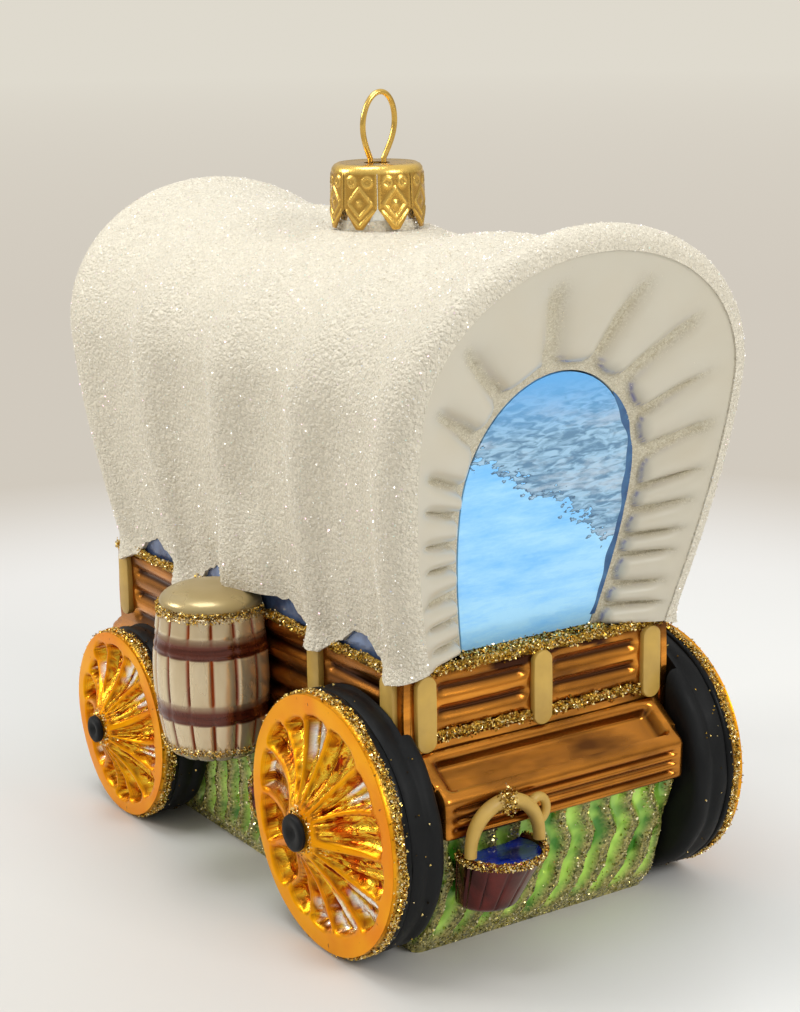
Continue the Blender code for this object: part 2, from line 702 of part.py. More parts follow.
def end_plane(z, end):
    """Distance along the wagon, from the middle of the box, of the cover's end section at height z."""
    inset, lean = {
        "rear": (REAR_INSET, REAR_LEAN_DEGREES),
        "front": (FRONT_INSET, FRONT_LEAN_DEGREES),
    }[end]
    return BOX_HALF_LENGTH - inset + math.tan(math.radians(lean)) * max(0.0, z - BOX_TOP_Z)


def along(u, z):
    """Place along the wagon: u is -1 at the cover's tail end, 1 at its front end."""
    return (1 + u) / 2 * end_plane(z, "front") - (1 - u) / 2 * end_plane(z, "rear")


def end_sizes(end):
    """Widest half width and top height of the cover at one end. The front end is the smaller one."""
    drop = FRONT_DROP if end == "front" else 0.0
    return COVER_END_HALF_WIDTH - drop, COVER_END_TOP_Z - drop


def skirt_edge(u):
    """Height of the canvas's lower edge: its tips stand on the box and it arches up between them."""
    foot = BOX_TOP_Z + GAP
    edge = foot + SKIRT_ARCH_RISE * (0.5 - 0.5 * math.cos(math.pi * (BOWS - 1) * u))
    over_lid = abs(along(u, foot) - BARREL_Y) <= BARREL_TOP_RADIUS * 1.3
    return max(edge, LID_TOP_Z + GAP) if over_lid else edge


def cover_point(u, v, roll, depth):
    """Point of the cover, depth below its outer face. u is -1 at the tail and 1 at the front."""
    flare = u * u
    swell = BOW_SWELL * math.cos(math.pi * (BOWS - 1) * u)
    rim = RIM_RADIUS - depth
    inward = depth + rim * (1 - math.cos(roll))
    end_half_width, end_top_z = end_sizes("front" if u > 0 else "rear")
    widest = COVER_MID_HALF_WIDTH + (end_half_width - COVER_MID_HALF_WIDTH) * flare + swell - inward
    top = COVER_MID_TOP_Z + (end_top_z - COVER_MID_TOP_Z) * flare + swell - inward
    foot = COVER_FOOT_HALF_WIDTH - inward
    edge = BOX_TOP_Z + GAP if roll > 0 else skirt_edge(u)
    x, z = arch(foot, widest, COVER_SPRING_Z, top, edge, BOX_TOP_Z, v)
    return x, along(u, z) + math.copysign(rim * math.sin(roll), u), z


def cover_grid(depth):
    turns = [math.radians(a) for a in (90, 45)]
    spans = 3 * (BOWS - 1)
    stations = [(-1.0, turn) for turn in turns]
    stations += [(2 * i / spans - 1, 0.0) for i in range(spans + 1)]
    stations += [(1.0, turn) for turn in reversed(turns)]
    across = [2 * j / COVER_COLUMNS - 1 for j in range(COVER_COLUMNS + 1)]
    return [[cover_point(u, v, roll, depth) for v in across] for u, roll in stations]


def build_cover():
    bm = shell(cover_grid(0.0), cover_grid(COVER_WALL))
    cover = add_object("cover", finish_mesh(bm, "cover"), "frosted_cover")
    hole = turned(
        [(NECK_RADIUS + GAP, 0.0), (NECK_RADIUS + GAP, NECK_TOP_Z - NECK_FOOT_Z)],
        (0, 0, 1),
        (0, NECK_Y, NECK_FOOT_Z - COVER_WALL),
        32,
    )
    tool = add_object("hole_tool", finish_mesh(hole, "hole_tool"), "frosted_cover")
    combine(cover, tool, "DIFFERENCE")


def curtain_point(v, share, widen, end):
    """Point (x, z) of a gathered end curtain, from the rim's lip at share 0 to its opening at share 1."""
    foot_z = BOX_TOP_Z + GAP
    tight = RIM_RADIUS + GAP
    half_width, top_z = end_sizes(end)
    lip_half = half_width + BOW_SWELL - tight
    lip_top = top_z + BOW_SWELL - tight
    lip = arch(COVER_FOOT_HALF_WIDTH - tight, lip_half, COVER_SPRING_Z, lip_top, foot_z, BOX_TOP_Z, v)
    foot_half = PANE_FOOT_HALF_WIDTH + widen
    pane_half = PANE_HALF_WIDTH + widen
    pane = arch(foot_half, pane_half, PANE_SPRING_Z, PANE_TOP_Z + widen, foot_z, BOX_TOP_Z, v)
    return lip[0] + (pane[0] - lip[0]) * share, lip[1] + (pane[1] - lip[1]) * share


def curtain_grid(end, sign, depth):
    """Pleats: each is a pillow of three columns between two valleys, which run out at the rim.

    The last row turns in toward the pane. The grid lies depth below the curtain's outer face.
    """
    columns = 3 * PLEATS
    grid = []
    for share, turn_in in ((0.0, 0.0), (0.3, 0.0), (0.75, 0.0), (1.0, 0.0), (1.0, PANE_SINK + PANE_WALL)):
        row = []
        for j in range(columns + 1):
            x, z = curtain_point(2 * j / columns - 1, share, depth, end)
            fold = 0.0 if j % 3 else math.sin(math.pi * share) * PLEAT_DEPTH
            inward = turn_in if turn_in else fold + depth
            y = end_plane(z, end) + RIM_RADIUS - CURTAIN_RECESS * share - inward
            row.append((x, sign * y, z))
        grid.append(row)
    return grid


def build_curtains():
    columns = 3 * PLEATS
    for end, sign in ENDS:
        bm = shell(curtain_grid(end, sign, 0.0), curtain_grid(end, sign, CURTAIN_WALL))
        add_object(f"curtain_{end}", finish_mesh(bm, f"curtain_{end}"), "pearl")

        outline = []
        for j in range(columns + 1):
            x, z = arch(
                PANE_FOOT_HALF_WIDTH - GAP,
                PANE_HALF_WIDTH - GAP,
                PANE_SPRING_Z,
                PANE_TOP_Z - GAP,
                BOX_TOP_Z + GAP,
                BOX_TOP_Z,
                2 * j / columns - 1,
            )
            outline.append((x, z))

        def place(x, z, inward, end=end, sign=sign):
            y = end_plane(z, end) + RIM_RADIUS - CURTAIN_RECESS - PANE_SINK - inward
            return (x, sign * y, z)

        bm = prism(outline, 0.0, PANE_WALL, place)
        add_object(f"pane_{end}", finish_mesh(bm, f"pane_{end}"), "blue_glass")


def build_glass_strips():
    """Strips of blue glass that close the gaps under the arches of the skirt."""
    outer = COVER_FOOT_HALF_WIDTH - COVER_WALL - GAP
    low_z = BOX_TOP_Z + GAP
    rear_y = -(end_plane(low_z, "rear") + RIM_RADIUS - CURTAIN_RECESS - CURTAIN_WALL - PLEAT_DEPTH - 2 * GAP)
    front_y = end_plane(low_z, "front") + RIM_RADIUS - CURTAIN_RECESS - CURTAIN_WALL - PLEAT_DEPTH - 2 * GAP
    for name, sign in SIDES:
        outline = [(outer - CURTAIN_WALL, rear_y), (outer, rear_y), (outer, front_y)]
        outline.append((outer - CURTAIN_WALL, front_y))
        bm = prism(outline, low_z, low_z + GLASS_STRIP_HEIGHT, lambda x, y, z, sign=sign: (sign * x, y, z))
        add_object(f"glass_strip_{name}", finish_mesh(bm, f"glass_strip_{name}"), "blue_glass")


def build_neck():
    bm = bmesh.new()
    profile = [
        (NECK_BORE_RADIUS, NECK_FOOT_Z),
        (NECK_RADIUS, NECK_FOOT_Z),
        (NECK_RADIUS, NECK_TOP_Z),
        (NECK_BORE_RADIUS, NECK_TOP_Z),
    ]
    segments = 32
    rows = []
    for radius, z in profile:
        ring = []
        for i in range(segments):
            angle = 2 * math.pi * i / segments
            ring.append(bm.verts.new((radius * math.cos(angle), NECK_Y + radius * math.sin(angle), z)))
        rows.append(ring)
    grid_faces(bm, [*rows, rows[0]], closed=True)
    add_object("neck", finish_mesh(bm, "neck"), "clear_glass")


def petal_share(step, steps):
    """Where one petal's columns stand, as shares of the petal: the outer two leave the slit open."""
    slit = CAP_SLIT * CAP_PETALS / (2 * math.pi * CAP_RADIUS) / 2
    return slit + (1 - 2 * slit) * step / (steps - 1)


def build_cap():
    """The crown cap: a turned shell whose skirt is slit into petals that end in blunt points."""
    bm = bmesh.new()
    steps = 4

    def vert(petal, share, radius, z):
        angle = 2 * math.pi * (petal + share) / CAP_PETALS
        return bm.verts.new((radius * math.cos(angle), NECK_Y + radius * math.sin(angle), z))

    shares = [petal_share(k, steps) for k in range(steps)]
    crown = (
        (CAP_HOLE_RADIUS, CAP_TOP_Z),
        (CAP_RADIUS - CAP_SHOULDER - CAP_WALL, CAP_TOP_Z),
        (CAP_RADIUS - CAP_WALL * 1.4, CAP_TOP_Z - CAP_SHOULDER * 0.45),
        (CAP_RADIUS - CAP_WALL, CAP_TOP_Z - CAP_SHOULDER - CAP_SLIT * 2),
    )
    rows = []
    for radius, z in crown:
        rows.append([vert(petal, share, radius, z) for petal in range(CAP_PETALS) for share in shares])
    grid_faces(bm, rows, closed=True)
    waist_radius = CAP_RADIUS - CAP_WALL * 0.5
    tip_shares = (0.5 - PETAL_TIP_SHARE / 2, 0.5 + PETAL_TIP_SHARE / 2)
    for petal in range(CAP_PETALS):
        top = rows[-1][petal * steps : (petal + 1) * steps]
        waist = [vert(petal, share, waist_radius, CAP_TIP_Z + CAP_NOTCH_HEIGHT) for share in shares]
        tips = [vert(petal, share, CAP_RADIUS, CAP_TIP_Z) for share in tip_shares]
        grid_faces(bm, [top, waist], closed=False)
        bm.faces.new((waist[0], waist[1], tips[0]))
        bm.faces.new((waist[1], waist[2], tips[1], tips[0]))
        bm.faces.new((waist[2], waist[3], tips[1]))
    bmesh.ops.recalc_face_normals(bm, faces=bm.faces)
    if sum(face.normal.z for face in bm.faces if abs(face.normal.z) > 0.9) < 0:
        bmesh.ops.reverse_faces(bm, faces=bm.faces)
    cap = add_object("cap", finish_mesh(bm, "cap", recalculate=False), "gold_metal")
    wall = cap.modifiers.new("wall", "SOLIDIFY")
    wall.thickness = CAP_WALL
    wall.offset = -1.0


def build_hanger():
    """The hanger: a teardrop loop whose two legs pass the cap's hole and spring against the neck's bore."""
    bottom = CAP_TOP_Z
    widest = bottom + LOOP_WIDEST_RISE
    spread = NECK_BORE_RADIUS - WIRE_RADIUS - GAP
    neck_entry = CAP_TOP_Z - CAP_WALL - WIRE_RADIUS
    half = [
        (spread, bottom - LEG_LENGTH),
        (spread, bottom - LEG_LENGTH * 0.62),
        (spread * 0.93, bottom - LEG_LENGTH * 0.46),
        (spread * 0.62, bottom - LEG_LENGTH * 0.24),
        (LOOP_FOOT_HALF_WIDTH, neck_entry),
        (LOOP_FOOT_HALF_WIDTH, bottom + WIRE_RADIUS),
    ]
    rise = widest - half[-1][1]
    for t in (0.25, 0.5, 0.75):
        x = LOOP_FOOT_HALF_WIDTH + (LOOP_HALF_WIDTH - LOOP_FOOT_HALF_WIDTH) * math.sin(math.pi / 2 * t)
        half.append((x, half[5][1] + rise * t))
    top = bottom + LOOP_HEIGHT - WIRE_RADIUS
    turn_steps = 6
    for i in range(turn_steps):
        angle = math.pi / 2 * i / turn_steps
        half.append((LOOP_HALF_WIDTH * math.cos(angle), widest + (top - widest) * math.sin(angle)))
    outline = [(-x, z) for x, z in half] + [(0.0, top)] + list(reversed(half))
    lean = math.tan(math.radians(LOOP_LEAN_DEGREES))
    points = [(x + max(0.0, z - bottom) * lean, NECK_Y, z) for x, z in outline]
    add_object("hanger", tube("hanger", points, WIRE_RADIUS, 1), "gold_metal")


def main():
    clear_scene()
    build_box()
    build_feed_boxes()
    build_grass()
    build_wheels()
    build_barrels()
    build_bucket()
    build_bundle()
    build_cover()
    build_curtains()
    build_glass_strips()
    build_neck()
    build_cap()
    build_hanger()


main()
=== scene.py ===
import math

import bpy
import numpy as np
from mathutils import Matrix, Vector


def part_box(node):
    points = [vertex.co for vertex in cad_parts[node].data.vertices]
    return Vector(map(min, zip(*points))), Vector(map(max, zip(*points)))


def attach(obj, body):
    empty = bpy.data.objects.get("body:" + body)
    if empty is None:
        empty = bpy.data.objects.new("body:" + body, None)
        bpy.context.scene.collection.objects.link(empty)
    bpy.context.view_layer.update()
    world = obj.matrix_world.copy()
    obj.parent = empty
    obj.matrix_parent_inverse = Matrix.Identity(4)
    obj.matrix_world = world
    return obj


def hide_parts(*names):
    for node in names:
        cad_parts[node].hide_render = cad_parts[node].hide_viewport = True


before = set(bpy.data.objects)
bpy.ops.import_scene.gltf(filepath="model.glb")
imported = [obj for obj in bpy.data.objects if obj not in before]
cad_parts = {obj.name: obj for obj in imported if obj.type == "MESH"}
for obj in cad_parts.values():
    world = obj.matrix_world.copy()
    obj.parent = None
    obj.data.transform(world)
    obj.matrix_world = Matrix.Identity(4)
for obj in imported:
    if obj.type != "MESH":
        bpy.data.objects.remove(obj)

bl_info = {
    "name": "Covered wagon ornament",
    "version": (1, 0, 0),
    "blender": (4, 5, 0),
    "location": "3D View > Sidebar > Ornament",
    "description": "Dresses the packed glass ornament: lacquer, glitter, crown cap and its studio",
    "category": "Object",
}

SIDES = (("left", -1), ("right", 1))
ENDS = (("rear", -1), ("front", 1))
MM = 0.001
FULL_TURN = 2 * math.pi

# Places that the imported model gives.
GRASS_HALF_WIDTH, GRASS_HALF_LENGTH, GRASS_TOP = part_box("grass_base")[1]
BOX_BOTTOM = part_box("side_left")[0].z
BOX_HALF_LENGTH, BOX_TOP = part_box("side_left")[1].yz
STAKE_PROUD = 0.0010
SEAM = 0.0003
BOX_HALF_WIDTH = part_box("side_right")[1].x - STAKE_PROUD
CAP_FOOT, CAP_TOP = (corner.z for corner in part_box("cap"))
LID_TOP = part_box("barrel_lid_left")[1].z
NECK_Y = sum(corner.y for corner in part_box("neck")) / 2
COVER_SPRING = BOX_TOP + 0.0425
COVER_FOOT_HALF = BOX_HALF_WIDTH + 0.0008
GRASS_SLOPE = math.tan(math.radians(17.0))


def length_property(name, description, default, highest, lowest=0.0):
    return bpy.props.FloatProperty(
        name=name, description=description, default=default, min=lowest, max=highest, unit="LENGTH",
        subtype="DISTANCE")


class OrnamentSizes(bpy.types.PropertyGroup):
    fold_depth: length_property("Fold depth", "How far the bows stand out under the cover", 0.0009, 0.002)
    hem_arch: length_property("Hem arch", "How high the cover's hem arches between its tips", 0.0040, 0.008)
    pleat_depth: length_property(
        "Pleat depth", "Depth of the valleys between the curtain's pillows", 0.0020, 0.0025)
    plank_groove: length_property("Plank groove", "Depth of the grooves between planks", 0.0009, 0.0012)
    spoke_hollow: length_property(
        "Spoke hollow", "Depth of the petal hollows between the wheel's spokes", 0.0026, 0.003)
    crystal: length_property("Crystal size", "Largest clear crystal on the cover", 0.00029, 0.0004, 0.0001)
    glitter: length_property(
        "Glitter size", "Largest gold shard in the glitter lines", 0.00036, 0.0005, 0.0001)
    crystals: bpy.props.IntProperty(
        name="Crystals", description="Clear crystals strewn over the cover", default=36500, min=0, max=45000)


def colour_property(name, description, default):
    return bpy.props.FloatVectorProperty(
        name=name, description=description, default=(*default, 1.0), size=4, min=0.0, max=1.0,
        subtype="COLOR")


class OrnamentColours(bpy.types.PropertyGroup):
    cover: colour_property("Cover", "White lacquer under the crystals", (0.87, 0.80, 0.65))
    curtain: colour_property("Curtain", "Satin pearl of the end curtains", (0.605, 0.56, 0.45))
    window: colour_property("Window", "Blue of the windows", (0.20, 0.55, 1.0))
    # Colour of the painted dark reflection on the windows' upper part.
    window_dark: colour_property("Window shade", "Dull upper part of the windows", (0.12, 0.25, 0.40))
    plank: colour_property("Plank", "Amber brown of the box", (0.80, 0.30, 0.035))
    # Also the colour of the painted shade that the groove mark carries on the feed boxes and walls.
    plank_dark: colour_property("Plank groove", "Dark brown in the grooves", (0.045, 0.011, 0.002))
    stake: colour_property("Stake", "Flat tan of the stakes and the bail", (0.60, 0.38, 0.075))
    black: colour_property("Black", "Matte black of the tyres", (0.006, 0.0065, 0.007))
    amber: colour_property("Amber", "Felloes and spokes", (1.0, 0.42, 0.0))
    # Brown red of the painted reflections in streaks through the wheels' hollows.
    amber_dark: colour_property("Amber shade", "Brown red in the wheel's hollows", (0.30, 0.04, 0.005))
    pearl: colour_property("Pearl", "Champagne pearl of the barrels", (0.60, 0.475, 0.29))
    hoop: colour_property("Hoop", "Maroon of hoops and stave lines", (0.090, 0.017, 0.007))
    maroon: colour_property("Maroon", "Bucket and bundle", (0.22, 0.030, 0.024))
    water: colour_property("Water", "Deep blue in the bucket", (0.006, 0.05, 0.85))
    grass: colour_property("Grass", "Bright green between the strands", (0.58, 0.93, 0.14))
    gold: colour_property("Gold", "Cap and wire", (0.90, 0.60, 0.15))
    glitter: colour_property("Glitter", "Gold shards", (0.66, 0.40, 0.05))


# Shaping


def clear_selection():
    bpy.ops.object.select_all(action="DESELECT")


def make_active(obj):
    clear_selection()
    obj.select_set(True)
    bpy.context.view_layer.objects.active = obj


def name_active(name):
    obj = bpy.context.object
    obj.name = obj.data.name = name
    return obj


def edit(obj, action, **settings):
    """Runs one operator on a whole mesh in edit mode."""
    make_active(obj)
    bpy.ops.object.mode_set(mode="EDIT")
    bpy.ops.mesh.select_all(action="SELECT")
    action(**settings)
    bpy.ops.object.mode_set(mode="OBJECT")


def read(items, key, width=1):
    """One property of a mesh's vertices or faces as an array."""
    values = np.empty(len(items) * width)
    items.foreach_get(key, values)
    return values.reshape(-1, width) if width > 1 else values


def loft(name, rows, marks=None, outward=None, around=None, weld=True):
    """A surface through rows of points: a flat grid laid over them and welded where they meet.

    marks are named arrays, one value for each point, kept as attributes. The faces look along outward, or
    away from the point around. With neither the surface is closed, and they look out of it.
    """
    rows = np.asarray(rows, dtype=float)
    height, width = rows.shape[:2]
    clear_selection()
    bpy.ops.mesh.primitive_grid_add(x_subdivisions=width - 1, y_subdivisions=height - 1, size=2)
    obj = name_active(name)
    mesh = obj.data
    flat = (read(mesh.vertices, "co", 3)[:, :2] + 1) / 2 * (width - 1, height - 1)
    column, row = np.rint(flat).astype(int).T
    mesh.vertices.foreach_set("co", rows[row, column].reshape(-1))
    for label, values in (marks or {}).items():
        layer = mesh.attributes.new(label, "FLOAT", "POINT")
        layer.data.foreach_set("value", np.asarray(values, dtype=float)[row, column])
    while mesh.uv_layers:
        mesh.uv_layers.remove(mesh.uv_layers[0])
    if weld:
        edit(obj, bpy.ops.mesh.remove_doubles, threshold=1e-6)
    if outward is None and around is None:
        edit(obj, bpy.ops.mesh.normals_make_consistent, inside=False)
    else:
        face_out(obj, outward, around)
    return obj


def face_out(obj, outward, around):
    """Turns all faces over if most of them look away from where they should."""
    faces = obj.data.polygons
    wanted = np.array(around if outward is None else outward, dtype=float)
    if outward is None:
        wanted = read(faces, "center", 3) - wanted
    facing = (wanted * read(faces, "normal", 3)).sum(1)
    if (facing * read(faces, "area")).sum() < 0:
        edit(obj, bpy.ops.mesh.flip_normals)


def capped(rows, centres):
    """Rows with one more at each end, all at one point, that closes it."""
    first, last = (np.tile(centre, (1, rows.shape[1], 1)) for centre in centres)
    return np.concatenate([first, rows, last])


def apply_modifier(obj, kind, **settings):
    make_active(obj)
    made = obj.modifiers.new(kind.lower(), kind)
    for key, value in settings.items():
        setattr(made, key, value)
    bpy.ops.object.modifier_apply(modifier=made.name)


def thicken(obj, thickness):
    apply_modifier(obj, "SOLIDIFY", thickness=thickness, offset=-1.0)


def cut(obj, point, normal):
    """Cuts off what lies past a plane and closes the cut."""
    edit(obj, bpy.ops.mesh.bisect, plane_co=point, plane_no=normal, use_fill=True, clear_outer=True,
         clear_inner=False)


def join_copies(model, places, name):
    """A copy of the model under each matrix, all joined into one mesh. The model itself goes."""
    pieces = []
    for place in places:
        piece = model.copy()
        piece.data = model.data.copy()
        bpy.context.scene.collection.objects.link(piece)
        piece.data.transform(place)
        pieces.append(piece)
    bpy.data.objects.remove(model)
    make_active(pieces[0])
    for piece in pieces:
        piece.select_set(True)
    bpy.ops.object.join()
    return name_active(name)


def finish_piece(obj, paint, slot, *nodes, body="ornament", angle=50):
    """Smooths and paints a piece, gives it its body and hides the nodes that it stands in for. slot is not
    used.
    """
    make_active(obj)
    bpy.ops.object.shade_smooth_by_angle(angle=math.radians(angle))
    obj.data.materials.clear()
    obj.data.materials.append(material(paint))
    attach(obj, body)
    if nodes:
        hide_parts(*nodes)


def paint_node(node, paint):
    """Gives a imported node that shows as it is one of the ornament's materials."""
    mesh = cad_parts[node].data
    mesh.materials.clear()
    mesh.materials.append(material(paint))


def circle(theta, reach, centre, place, axis="z"):
    """Points round an axis, at a reach and a place along it that may both change with the angle."""
    across, up = reach * np.cos(theta), reach * np.sin(theta)
    place = np.broadcast_to(place, theta.shape)
    if axis == "x":
        return np.stack([place, centre[1] + across, centre[2] + up], axis=1)
    return np.stack([centre[0] + across, centre[1] + up, place], axis=1)


def smooth_step(low, high, value):
    t = np.clip((value - low) / (high - low), 0.0, 1.0)
    return t * t * (3 - 2 * t)


def bell(value, middle, width):
    return np.exp(-((value - middle) / width) ** 2)


def along_line(points, count):
    """Evenly spaced points on a bent line."""
    points = np.asarray(points, dtype=float)
    step = np.linalg.norm(np.diff(points, axis=0), axis=1)
    place = np.concatenate([[0.0], np.cumsum(step)])
    wanted = np.linspace(0.0, place[-1], count)
    return np.stack([np.interp(wanted, place, column) for column in points.T], axis=1)


def tube(name, points, radius, sides=16, flatness=1.0):
    """A round or flattened bar along a bent line in an upright plane across the wagon, with closed ends."""
    points = np.asarray(points, dtype=float)
    tangent = np.gradient(points, axis=0)
    across = np.array((0.0, 1.0, 0.0))
    outward = np.cross(tangent, across)
    outward /= np.linalg.norm(outward, axis=1)[:, None]
    radius = np.broadcast_to(radius, len(points))[:, None, None]
    angle = np.linspace(0, FULL_TURN, sides + 1)[None, :, None]
    wave = np.cos(angle) * outward[:, None, :] * flatness + np.sin(angle) * across
    return loft(name, capped(points[:, None, :] + wave * radius, points[[0, -1]]))


# Glitter


def scatter(rows, count, rng, weight=None):
    """Random points on a lofted surface, thicker where the weight is higher."""
    corners = [rows[:-1, :-1], rows[:-1, 1:], rows[1:, 1:], rows[1:, :-1]]
    share = np.linalg.norm(np.cross(corners[2] - corners[0], corners[3] - corners[1]), axis=2)
    if weight is not None:
        share = share * (weight[:-1, :-1] + weight[1:, 1:] + weight[:-1, 1:] + weight[1:, :-1]) / 4
    pick = rng.choice(share.size, count, p=share.ravel() / share.sum())
    s, t = rng.random((2, count, 1))
    a, b, c, d = (corner.reshape(-1, 3)[pick] for corner in corners)
    return a * (1 - s) * (1 - t) + b * s * (1 - t) + c * s * t + d * (1 - s) * t


def line_points(start, end, width, count, rng, waver=0.25):
    """Random points along a straight glitter line; width is its spread in x, y and z."""
    start, end = np.array(start), np.array(end)
    t = rng.random((count, 1))
    wobble = np.sin(t * 47 + rng.random() * 9) * waver + np.sin(t * 113 + 2) * waver * 0.6
    spread = np.clip(rng.normal(size=(count, 3)) * 0.42, -1, 1)
    return start + (end - start) * t + (spread + wobble * (0, 0, 1.0)) * np.array(width)


def ring_points(centre, axis, radius, low, high, count, rng, proud=0.0):
    """Random points on a band round an axis; two radii are those at its low and its high edge."""
    angle = rng.uniform(0, FULL_TURN, count)
    place = rng.uniform(low, high, count)
    if np.ndim(radius):
        radius = np.interp(place, [low, high], radius)
    return circle(angle, radius + rng.uniform(0, proud, count), centre, place, axis)


def shards(name, points, size, seed, paint, slot, smallest=0.5):
    """Many small shards in one mesh: one three-sided shard, copied, turned and squashed at every point."""
    clear_selection()
    bpy.ops.mesh.primitive_cone_add(vertices=3, radius1=1.0, depth=1.3)
    model = bpy.context.object
    shape = np.array([vertex.co[:] for vertex in model.data.vertices])
    faces = np.array([polygon.vertices[:] for polygon in model.data.polygons])
    bpy.data.objects.remove(model)
    points = np.column_stack([points[:, :2], np.maximum(points[:, 2], size * 0.8)])
    rng = np.random.default_rng(seed)
    count = len(points)
    turn = rng.normal(size=(count, 4))
    w, x, y, z = (turn / np.linalg.norm(turn, axis=1)[:, None]).T
    spin = np.array([
        [1 - 2 * (y * y + z * z), 2 * (x * y - z * w), 2 * (x * z + y * w)],
        [2 * (x * y + z * w), 1 - 2 * (x * x + z * z), 2 * (y * z - x * w)],
        [2 * (x * z - y * w), 2 * (y * z + x * w), 1 - 2 * (x * x + y * y)],
    ]).transpose(2, 0, 1)
    stretch = rng.uniform(0.55, 1.0, (count, 1, 3))
    stretch = stretch * (size * rng.uniform(smallest, 1.0, count))[:, None, None]
    vertices = np.einsum("nij,nkj->nki", spin, shape[None] * stretch) + points[:, None, :]
    all_faces = faces[None] + (np.arange(count) * len(shape))[:, None, None]
    mesh = bpy.data.meshes.new(name)
    mesh.from_pydata(vertices.reshape(-1, 3).tolist(), [], all_faces.reshape(-1, 3).tolist())
    tint = mesh.attributes.new("tint", "FLOAT", "POINT")
    tint.data.foreach_set("value", np.repeat(rng.random(count), len(shape)))
    obj = bpy.data.objects.new(name, mesh)
    bpy.context.scene.collection.objects.link(obj)
    finish_piece(obj, paint, slot, angle=10)


# Materials


SOCKETS = {
    "colour": "Base Color", "rough": "Roughness", "metallic": "Metallic", "specular": "Specular IOR Level",
    "coat": "Coat Weight", "coat_rough": "Coat Roughness", "sheen": "Sheen Weight",
    "glow": "Emission Color", "glow_strength": "Emission Strength",
}


def opaque(colour):
    """A colour of three parts gets its alpha. A socket or a full colour stays as it is."""
    return (*colour, 1.0) if isinstance(colour, tuple) and len(colour) == 3 else colour


class Paint:
    """The node tree of a material, a world or a group, with short names for what it is made of."""

    def __init__(self, owner):
        self.owner = owner
        if isinstance(owner, bpy.types.NodeTree):
            self.tree = owner
        else:
            owner.use_nodes = True
            self.tree = owner.node_tree

    def fill(self, node, inputs):
        for key, value in inputs.items():
            if isinstance(value, bpy.types.NodeSocket):
                self.tree.links.new(value, node.inputs[key])
            else:
                node.inputs[key].default_value = value

    def node(self, kind, inputs=None, **settings):
        made = self.tree.nodes.new("ShaderNode" + kind)
        for key, value in settings.items():
            setattr(made, key, value)
        self.fill(made, inputs or {})
        return made.outputs

    def math(self, operation, a, b, clamp=False):
        return self.node("Math", {0: a, 1: b}, operation=operation, use_clamp=clamp)[0]

    def add(self, a, b):
        return self.math("ADD", a, b)

    def subtract(self, a, b, clamp=False):
        return self.math("SUBTRACT", a, b, clamp)

    def multiply(self, a, b, clamp=False):
        return self.math("MULTIPLY", a, b, clamp)

    def mix(self, factor, a, b):
        return self.node("Mix", {0: factor, 6: opaque(a), 7: opaque(b)}, data_type="RGBA")[2]

    def span(self, value, low, high, to_low=0.0, to_high=1.0, **settings):
        """Carries the value's range from low to high over to another one, and holds it there."""
        facts = {"Value": value, "From Min": low, "From Max": high, "To Min": to_low, "To Max": to_high}
        return self.node("MapRange", facts, **settings)[0]

    def mark(self, name):
        return self.node("Attribute", attribute_name=name)["Fac"]

    def place(self, scale=(1, 1, 1), location=(0, 0, 0)):
        coordinates = self.node("TexCoord")["Object"]
        return self.node("Mapping", {"Vector": coordinates, "Scale": scale, "Location": location})[0]

    def stretched(self, place, scale):
        return self.node("VectorMath", {0: place, 1: scale}, operation="MULTIPLY")[0]

    def dot(self, place, direction):
        return self.node("VectorMath", {0: place, 1: direction}, operation="DOT_PRODUCT")["Value"]

    def noise(self, scale, place=None, detail=2.0, roughness=0.5, distortion=0.0):
        facts = {"Scale": scale, "Detail": detail, "Roughness": roughness, "Distortion": distortion}
        return self.node("TexNoise", {"Vector": place or self.place(), **facts})[0]

    def ramp(self, factor, stops, interpolation="LINEAR"):
        colours = self.node("ValToRGB", {0: factor})
        ramp = self.tree.nodes[-1].color_ramp
        ramp.interpolation = interpolation
        for index, (place, colour) in enumerate(stops):
            stop = ramp.elements[index] if index < 2 else ramp.elements.new(place)
            stop.position = place
            stop.color = opaque(colour)
        return colours[0]

    def group(self, build, inputs, outputs):
        """Outputs of a node group, which is built when it is first used and bears its builder's name."""
        tree = bpy.data.node_groups.get(build.__name__) or build(build.__name__)
        made = self.node("Group", inputs, node_tree=tree)
        return [made[label] for label in outputs]

    def brushed(self, scale, rough, stretch=(1, 1, 1)):
        facts = {"Patch Scale": scale, "Stretch": stretch, "Rough": rough}
        return self.group(brushed_lacquer, facts, ("Patch", "Roughness", "Height"))

    def grain(self, scale):
        return self.group(crushed_glass, {"Grain Scale": scale}, ("Shade", "Height"))

    def finish(self, bump=None, **sockets):
        """Fills the surface's sockets. bump is a height, a strength and a distance."""
        facts = {SOCKETS[key]: value for key, value in sockets.items()}
        if bump:
            facts["Normal"] = self.node("Bump", dict(zip(("Height", "Strength", "Distance"), bump)))[0]
        self.fill(self.tree.nodes["Principled BSDF"], facts)

    def surface(self, output, factor, first, second):
        """Mixes two shaders into the tree's output."""
        both = self.node("MixShader", {0: factor, 1: first, 2: second})[0]
        self.tree.links.new(both, self.tree.nodes[output].inputs["Surface"])


def new_group(name, inputs, outputs):
    """An empty node group: its paint, what it is given and the node that takes its results."""
    tree = bpy.data.node_groups.new(name, "ShaderNodeTree")
    for label, default in inputs.items():
        kind = "NodeSocketVector" if isinstance(default, tuple) else "NodeSocketFloat"
        tree.interface.new_socket(label, in_out="INPUT", socket_type=kind).default_value = default
    for label in outputs:
        tree.interface.new_socket(label, in_out="OUTPUT", socket_type="NodeSocketFloat")
    return Paint(tree), tree.nodes.new("NodeGroupInput").outputs, tree.nodes.new("NodeGroupOutput")


